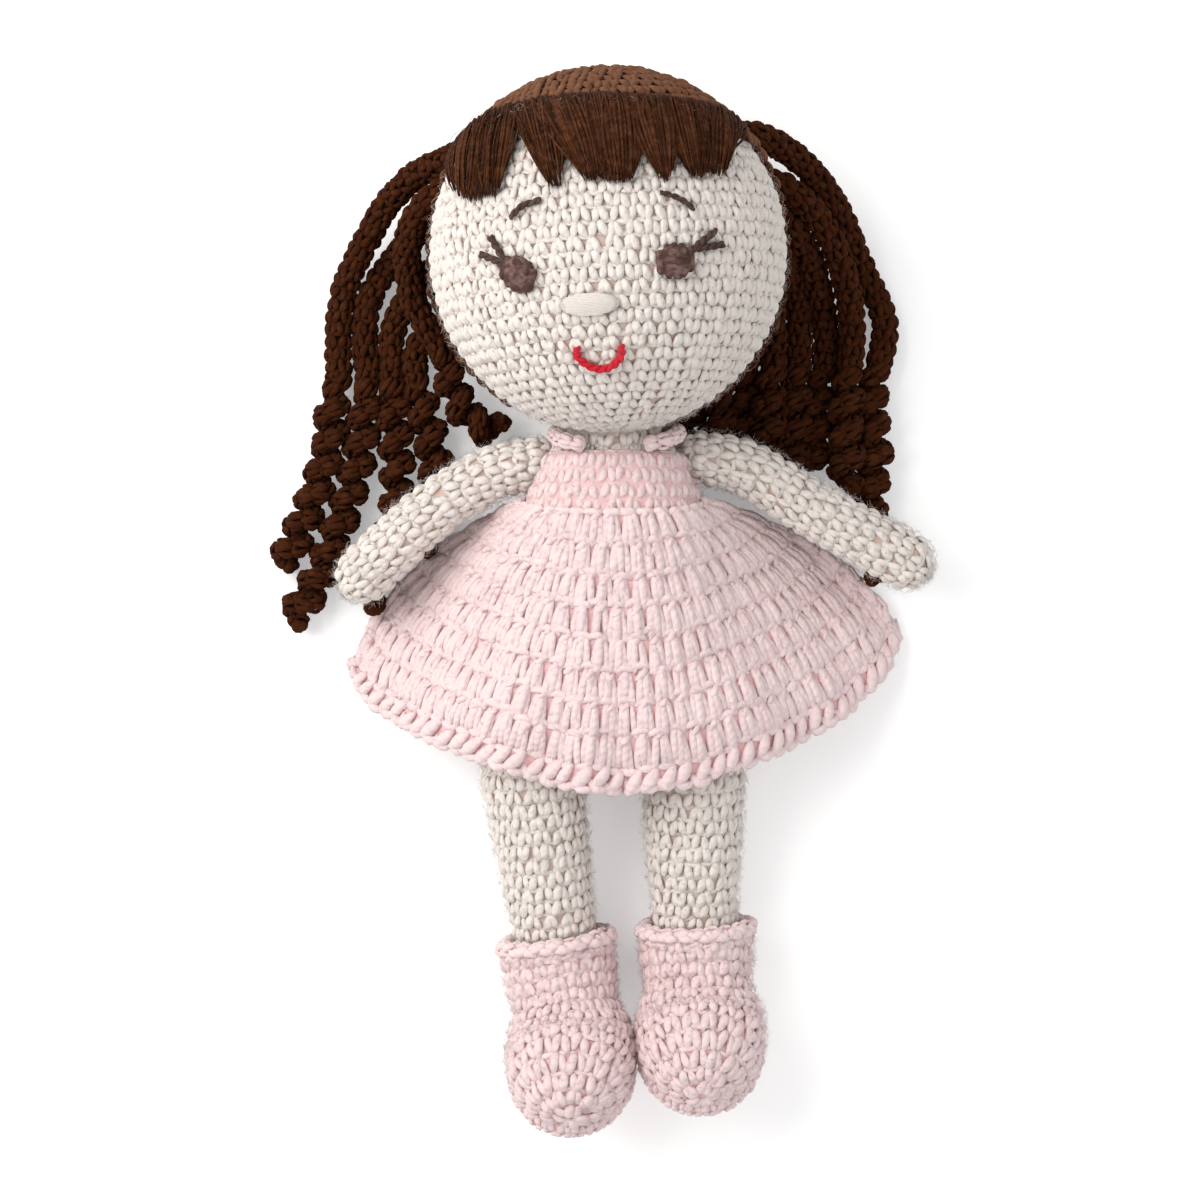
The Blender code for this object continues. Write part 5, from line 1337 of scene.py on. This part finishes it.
@dataclass
class Boot(Piece):
    """A crocheted boot: shaft and foot in rounds, an edged cuff, and a separate sole with its own edge."""

    side: str
    body: Body
    leg_end: Point
    leg_before: Point
    cuff_y: float
    sole_at: Point
    seed: int
    shaft_radius: float = 0.0152
    foot: Point = (0.0176, 0.0222, 0.0165)
    pitch: float = math.radians(45)
    sole_thickness: float = 0.0048
    sole_half: tuple[float, float] = (0.0172, 0.0216)
    foot_above_sole: float = 0.0085
    toe_from: float = 0.82
    cuff_radius: float = 0.0148
    cuff_stitches: int = 20

    def frame(self) -> tuple[Array, Array, Array]:
        """Across, toe and instep directions."""
        s, c = math.sin(self.pitch), math.cos(self.pitch)
        return np.array((1.0, 0.0, 0.0)), np.array((0.0, -s, c)), np.array((0.0, c, s))

    def ends(self) -> tuple[Array, Array]:
        """The middle of the cuff's mouth, and the leg's end."""
        end, before = np.array(self.leg_end) + SHIFT, np.array(self.leg_before) + SHIFT
        ahead = unit(end - before)
        return end + ahead * ((self.cuff_y + SHIFT[1] - end[1]) / ahead[1]), end

    def base(self) -> Array:
        """The middle of the sole's underside."""
        return np.array(self.sole_at) + SHIFT

    def foot_middle(self) -> Array:
        """The middle of the foot's egg."""
        return self.base() + self.frame()[2] * self.foot_above_sole

    def form(self, p: Array) -> Array:
        """Below zero inside the boot: the shaft's capsule and the foot's egg run into each other, cut by the sole.

        Args:
            p: the places.

        Returns:
            How far outside each of them is, roughly.
        """
        start, end = self.ends()
        axis, soft = end - start, 0.0045
        t = np.clip(((p - start) @ axis) / (axis @ axis), -0.4, 1)
        capsule = np.linalg.norm(p - (start + t[..., None] * axis), axis=-1) - self.shaft_radius
        away = p - self.foot_middle()
        local = np.stack([away @ way for way in self.frame()], axis=-1) / np.array(self.foot)
        egg = (np.linalg.norm(local, axis=-1) - 1) * min(self.foot)
        h = np.clip(0.5 + 0.5 * (egg - capsule) / soft, 0, 1)
        blend = egg * (1 - h) + capsule * h - soft * h * (1 - h)
        return np.maximum(blend, (self.sole_thickness - 0.0004) - (p - self.base()) @ self.frame()[2])

    def upper_surface(self) -> Formula:
        """The upper's skin: rays from a spine meet the boot's form, and past its end they fan out over the toe."""
        (mouth, end), centre, toe = self.ends(), self.foot_middle(), self.frame()[1]
        spine = smooth_line([mouth, mouth + (end - mouth) * 0.6, centre - toe * 0.004, centre + toe * 0.0125], 60)
        _, side_way, up_way = carried_frames(spine)
        gone = np.linspace(0, 1, len(spine))

        def row(table: Array, v: Array) -> Array:
            """The table's row at v, where the spine ends before the toe's fan."""
            s = np.clip(v / self.toe_from, 0, 1)
            return np.stack([np.interp(s, gone, table[:, i]) for i in range(3)], axis=-1)

        def where(u: Array, v: Array) -> Array:
            """Where each ray leaves the form, by halving."""
            origin, out_a, out_b = row(spine, v), unit(row(side_way, v)), unit(row(up_way, v))
            turn = (TAU * u)[..., None]
            fan = (np.clip((v - self.toe_from) / (1 - self.toe_from), 0, 1) * np.pi / 2)[..., None]
            ray = (out_a * np.cos(turn) + out_b * np.sin(turn)) * np.cos(fan)
            ray = ray + unit(np.cross(out_a, out_b)) * np.sin(fan)
            near, far = np.zeros(u.shape), np.full(u.shape, 0.040)
            for _ in range(22):
                middle = 0.5 * (near + far)
                inside = self.form(origin + ray * middle[..., None]) < 0
                near, far = np.where(inside, middle, near), np.where(inside, far, middle)
            return origin + ray * near[..., None]

        def inner(u: Array, v: Array) -> Array:
            """The spine's point."""
            return row(spine, v)

        return Formula(where, inner)

    def build(self) -> None:
        """Work the boot's upper, its cuff and its sole."""
        name, surface = "boot_" + self.side, self.upper_surface()
        grown = skin_mesh(surface, 56, 48, 0.35)
        grown.verts = grown.verts + unit(self.foot_middle() - grown.verts) * YARN_DEPTH
        skin = self.seat(make_piece(name + "_skin", grown, PINK), self.body, name + "_upper", name + "_stuffing")
        edges = even_edges(surface, 0.01, 0.985, 0.0043)
        girths = [ring_length(surface, 0.5 * (a + b)) for a, b in zip(edges, edges[1:])]
        yarn = worked(surface, rounds(edges, girths, STITCH_WIDTH * 0.96, -0.3), SINGLE, self.seed, 1.12)
        yarn = yarn.joined(fuzz(surface, 2500, self.seed, v_range=(0.02, 0.95)))
        self.seat(make_piece(name + "_stitches", yarn.above_table(), PINK), self.body)
        self.cuff(name)
        self.sole(name)

    def cuff(self, name: str) -> None:
        """A ring of chain stitches round the mouth, with a rolled edge."""
        mouth, end = self.ends()
        ahead = unit(end - mouth)
        across = unit(np.cross(ahead, (0.0, 0.0, 1.0)))
        up, middle = np.cross(across, ahead), mouth + ahead * 0.0014

        def where(u: Array, v: Array) -> Array:
            """A flattened tube about the mouth's circle."""
            roll = (TAU * v)[..., None]
            return inner(u, v, 0.0012 * np.cos(roll)) + ahead * 0.0017 * np.sin(roll)

        def inner(u: Array, v: Array, out: Array | float = 0.0) -> Array:
            """The mouth's circle."""
            turn = (TAU * u)[..., None]
            return middle + (across * np.cos(turn) + up * np.sin(turn)) * (self.cuff_radius + out)

        surface, (around, rows), count = Formula(where, inner), (64, 10), self.cuff_stitches
        v, u = np.meshgrid(np.arange(rows) / rows, np.arange(around) / around, indexing="ij")
        ring, quads = surface.point(u, v).reshape(-1, 3), ring_quads(rows, around, closed=True)
        data = MeshData.plain(ring, (quads[:, ::-1] if inside_out(ring, quads) else quads,), 0.3)
        for shift, height in ((0.5, 0.10), (0.0, 0.78)):
            cells = Cells((np.arange(count) + shift) / count, *(np.full(count, a) for a in (height, 1 / count, 0.44)))
            data = data.joined(worked(surface, cells, CHAIN, self.seed + 1, 1.25))
        self.seat(make_piece(name + "_cuff_edge", data.above_table(), PINK), self.body, name + "_cuff")

    def sole(self, name: str) -> None:
        """The sole: an oval slab, worked round its edge and in rings underneath."""
        (across, toe, instep), base, half = self.frame(), self.base(), self.sole_half
        girth = TAU * 0.0194

        def where(u: Array, v: Array) -> Array:
            """v 0 to 0.2 the upper face outwards, 0.2 to 0.5 the edge, 0.5 to 1 the underside to its middle."""
            turn, down = TAU * u, (v - 0.2) / 0.3
            size = np.where(v < 0.2, v / 0.2, np.where(v < 0.5, 1 + 0.03 * np.sin(down * np.pi), (1 - v) / 0.5))
            height = self.sole_thickness * np.where(v < 0.2, 1.0, np.where(v < 0.5, 1 - down, 0.0))
            x, y = half[0] * size * np.cos(turn), half[1] * size * np.sin(turn)
            return base + across * x[..., None] + toe * y[..., None] + instep * height[..., None]

        def inner(u: Array, v: Array) -> Array:
            """The slab's middle."""
            return base + instep * (0.5 * self.sole_thickness) + 0 * where(u, v)

        surface = Formula(where, inner)
        data = skin_mesh(surface, 56, 24, 0.35)
        edge_cells = rounds((0.19, 0.36, 0.53), (girth, girth), 0.0046, -0.5)
        data = data.joined(worked(surface, edge_cells, SINGLE, self.seed + 2, 0.9))
        under = [0.55 + 0.43 * i / 5 for i in range(6)]
        sizes = [girth * (1 - 0.5 * (a + b)) / 0.5 for a, b in zip(under, under[1:])]
        data = data.joined(worked(surface, rounds(under, sizes, STITCH_WIDTH, 0.3), SINGLE, self.seed + 3, 0.8))
        self.seat(make_piece(name + "_sole_yarn", data.above_table(), PINK), self.body, name + "_sole")


def ring_length(surface: Surface, v: float) -> float:
    """The girth of a surface at v."""
    return float(travelled(surface.point(np.linspace(0, 1, 61), np.full(61, v)))[-1])


# Each strand's route down from the cap in tenths of a millimetre, and where along it the corkscrew begins.
HAIR_ROUTES: dict[str, tuple[float, Rows]] = {
    "hair_left_1": (0.63, ((-465, 1223, 470), (-508, 1208, 420), (-597, 1185, 310), (-670, 1135, 220),
        (-716, 1083, 160), (-777, 981, 110), (-818, 901, 60), (-836, 811, 50), (-841, 716, 50),
        (-838, 635, 60), (-857, 549, 70), (-863, 452, 70), (-891, 343, 70), (-931, 243, 70),
        (-968, 157, 70), (-991, 109, 70))),
    "hair_left_2": (0.65, ((-491, 1138, 430), (-524, 1122, 430), (-567, 1091, 410), (-611, 1037, 360),
        (-630, 955, 270), (-622, 865, 220), (-588, 785, 180), (-544, 719, 150), (-522, 647, 130),
        (-495, 563, 120), (-444, 501, 110), (-381, 481, 100))),
    "hair_left_3": (0.46, ((-563, 1067, 270), (-605, 1039, 180), (-649, 1001, 110), (-692, 958, 60),
        (-733, 902, 50), (-758, 836, 50), (-764, 745, 50), (-755, 635, 60), (-760, 543, 70),
        (-771, 452, 70), (-794, 343, 70), (-825, 243, 70), (-860, 143, 70), (-914, 29, 70),
        (-971, -51, 70))),
    "hair_left_4": (0.39, ((-459, 834, 160), (-519, 798, 90), (-577, 761, 60), (-618, 710, 50),
        (-620, 635, 60), (-597, 543, 70), (-574, 457, 70), (-560, 343, 70), (-571, 243, 70),
        (-605, 157, 70))),
    "hair_left_5": (0.38, ((-564, 924, 200), (-633, 870, 90), (-675, 796, 50), (-692, 716, 50),
        (-683, 635, 60), (-680, 543, 70), (-674, 452, 70), (-668, 343, 70), (-674, 243, 70),
        (-697, 157, 70), (-725, 71, 70), (-760, -9, 70))),
    "hair_right_1": (0.61, ((304, 1268, 480), (338, 1268, 460), (387, 1256, 410), (447, 1230, 340),
        (504, 1190, 270), (559, 1132, 200), (601, 1069, 140), (643, 979, 80), (685, 894, 50),
        (720, 816, 50), (722, 739, 50), (704, 669, 60), (686, 594, 70), (686, 520, 70), (698, 443, 70),
        (689, 357, 70), (681, 271, 70), (686, 186, 70), (703, 71, 70))),
    "hair_right_2": (0.67, ((350, 1153, 380), (412, 1145, 360), (487, 1093, 310), (547, 1021, 260),
        (591, 936, 190), (619, 840, 130), (627, 752, 100), (621, 666, 100), (609, 580, 110),
        (606, 506, 110), (612, 427, 110), (603, 327, 110))),
    "hair_right_3": (0.54, ((401, 1007, 260), (440, 955, 170), (468, 878, 90), (478, 787, 60),
        (478, 669, 60), (463, 594, 70), (461, 520, 70), (463, 443, 70), (455, 371, 70), (446, 300, 70))),
    "hair_right_4": (0.49, ((384, 891, 220), (396, 821, 150), (402, 740, 100), (402, 666, 100),
        (387, 587, 100), (387, 513, 100), (382, 384, 100))),
    "hair_right_5": (0.38, ((338, 785, 240), (331, 736, 150), (326, 668, 80), (318, 595, 60),
        (312, 515, 60), (312, 443, 60), (307, 349, 60))),
    "hair_right_6": (0.67, ((384, 1080, 320), (442, 1041, 280), (492, 977, 200), (526, 898, 120),
        (550, 812, 60), (556, 736, 50), (553, 670, 50), (533, 584, 50), (530, 504, 50), (525, 395, 50))),
    "hair_right_7": (0.43, ((276, 695, 240), (263, 651, 160), (250, 592, 110), (242, 527, 100),
        (239, 456, 100), (237, 370, 100))),
    "hair_right_8": (0.26, ((198, 624, 220), (179, 588, 130), (158, 534, 70), (143, 457, 70),
        (138, 383, 70), (138, 331, 70))),
}

# Each limb's line from the body out: x, y, z and radius in tenths of a millimetre.
ARM_LEFT = tenths(((-272, 380, 270, 74), (-381, 358, 270, 74), (-466, 314, 268, 76), (-557, 253, 262, 77),
                   (-663, 160, 252, 79), (-752, 72, 240, 79)))
ARM_RIGHT = tenths(((190, 396, 270, 74), (283, 382, 270, 74), (371, 340, 268, 76), (459, 281, 262, 77),
                    (588, 207, 252, 79), (763, 112, 240, 80)))
LEG_LEFT = tenths(((-284, -450, 211, 144), (-281, -500, 205, 144), (-250, -730, 180, 130), (-222, -920, 152, 117),
                   (-210, -1000, 148, 112), (-203, -1060, 147, 107)))
LEG_RIGHT = tenths(((170, -450, 211, 145), (171, -500, 205, 145), (173, -730, 174, 131), (177, -870, 154, 119),
                    (179, -950, 149, 114), (182, -1005, 147, 107)))


def neck_line() -> Array:
    """The neck's line, from the body towards the head."""
    foot, way = np.array((-0.0050, 0.0380, 0.0310)), np.array((-0.0019, 0.0560, 0.0192))
    length, radius = 0.0165, 0.0130
    return np.array([(*point, radius) for point in (foot, foot + unit(way) * length)])


@dataclass
class Studio:
    """A pale table, soft light from the upper left, and the camera straight above."""

    scale: float = 0.28 * MM
    pixels: int = 1200
    sensor: float = 36.0
    height: float = 0.900
    sharp_height: float = 0.025
    middle: Point = (-0.0091, 0.0, 0.0)
    lamps: tuple[tuple[str, Point, float, float, Point], ...] = (
        ("key", (-0.50, 0.26, 0.58), 0.60, 4.9, (1.0, 0.985, 0.96)),
        ("fill", (0.60, -0.30, 0.80), 0.90, 2.0, (0.96, 0.98, 1.0)))

    def table(self) -> bpy.types.Object:
        """The table: a white sheet, which glows a little to the camera alone."""
        reach, sunk = 2, 0.0002
        mesh = bpy.data.meshes.new("table")
        corners = ((-reach, -reach, 0), (reach, -reach, 0), (reach, reach, 0), (-reach, reach, 0))
        mesh.from_pydata(corners, [], [(0, 1, 2, 3)])
        floor = linked("table", mesh)
        floor.location.z = -sunk
        white = bpy.data.materials.new("table white")
        white.use_nodes = True
        tree = white.node_tree
        matt = tree.nodes["Principled BSDF"]
        set_inputs(tree, matt, {"Base Color": (0.93, 0.93, 0.93, 1), "Roughness": 0.9})
        rays = add_node(tree, "LightPath").outputs
        pick = add_node(tree, "Math", {0: rays["Is Camera Ray"], 1: 0.30}, operation="MULTIPLY")
        glow = add_node(tree, "Emission", {"Strength": pick.outputs["Value"]})
        total = add_node(tree, "AddShader", {0: matt.outputs["BSDF"], 1: glow.outputs["Emission"]})
        set_inputs(tree, tree.nodes["Material Output"], {"Surface": total.outputs["Shader"]})
        mesh.materials.append(white)
        return floor

    def lamp(self, name: str, at: Point, size: float, power: float, colour: Point) -> bpy.types.Object:
        """A square lamp that shines at the frame's origin."""
        data = bpy.data.lights.new(name, "AREA")
        data.size, data.energy, data.color = size, power, colour
        light = linked(name, data)
        light.location = at
        light.rotation_euler = (-Vector(at)).to_track_quat("-Z", "Y").to_euler()
        return light

    def sky(self) -> None:
        """A white sky: full strength where it is seen straight, reflected or through things, 0.55 as a light."""
        world = bpy.data.worlds.new("soft sky")
        world.use_nodes = True
        tree = world.node_tree
        rays = add_node(tree, "LightPath").outputs
        seen = add_node(tree, "Math", {0: rays["Is Camera Ray"], 1: rays["Is Glossy Ray"]})
        seen = add_node(tree, "Math", {0: seen.outputs["Value"], 1: rays["Is Transmission Ray"]}, use_clamp=True)
        strength = add_node(tree, "Math", {0: seen.outputs["Value"], 1: 0.45, 2: 0.55}, operation="MULTIPLY_ADD")
        sky = {"Color": (1.0, 1.0, 1.0, 1), "Strength": strength.outputs["Value"]}
        set_inputs(tree, tree.nodes["Background"], sky)
        bpy.context.scene.world = world

    def camera(self) -> bpy.types.Object:
        """The camera: at sharp_height over the table each pixel is as large as the scale says."""
        data = bpy.data.cameras.new("camera")
        data.lens = self.sensor * (self.height - self.sharp_height) / (self.pixels * self.scale)
        camera = linked("camera", data)
        camera.location = np.array(self.middle) + SHIFT + np.array((0.0, 0.0, self.height))
        bpy.context.scene.camera = camera
        return camera

    def build(self) -> None:
        """Set the table, the lamps, the sky and the camera."""
        stage = [self.table(), *(self.lamp(*lamp) for lamp in self.lamps)]
        self.sky()
        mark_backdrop(*stage, self.camera())
        bpy.context.scene.view_settings.view_transform = "Standard"


def dress_inner_nodes() -> None:
    """Give the hidden fillings their fibre finish."""
    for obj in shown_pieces():
        if obj.name.endswith("_stuffing") and obj.type == "MESH":
            obj.data.materials.clear()
            obj.data.materials.append(FIBRE.make())


def main() -> None:
    """Build the doll from its inside out, then the studio."""
    logging.basicConfig(level=logging.INFO, format="%(message)s")
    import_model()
    Studio().build()
    Head().build()
    Face().build()
    StuffedLimb("neck", Body.NECK, neck_line(), 71).build()
    StuffedLimb("arm_left_shell", Body.ARM_LEFT, ARM_LEFT, 72).build()
    StuffedLimb("arm_right_shell", Body.ARM_RIGHT, ARM_RIGHT, 73).build()
    StuffedLimb("leg_left_shell", Body.LEGS, LEG_LEFT, 74, others=("leg_left_stuffing",)).build()
    StuffedLimb("leg_right_shell", Body.LEGS, LEG_RIGHT, 75, others=("leg_right_stuffing",)).build()
    Bodice().build()
    Skirt().build()
    for side, body, leg, cuff_y, sole_at, seed in (
            ("left", Body.BOOT_LEFT, LEG_LEFT, -0.0955, (-0.0172, -0.1335, 0.0172), 81),
            ("right", Body.BOOT_RIGHT, LEG_RIGHT, -0.0920, (0.0190, -0.1276, 0.0170), 91)):
        Boot(side, body, leg[-1, :3], leg[-3, :3], cuff_y, sole_at, seed).build()
    for number, (node, (curl_from, route)) in enumerate(HAIR_ROUTES.items()):
        HairStrand(node, tenths(route), curl_from, 100 + number).build()
    dress_inner_nodes()


if __name__ == "__main__":
    main()
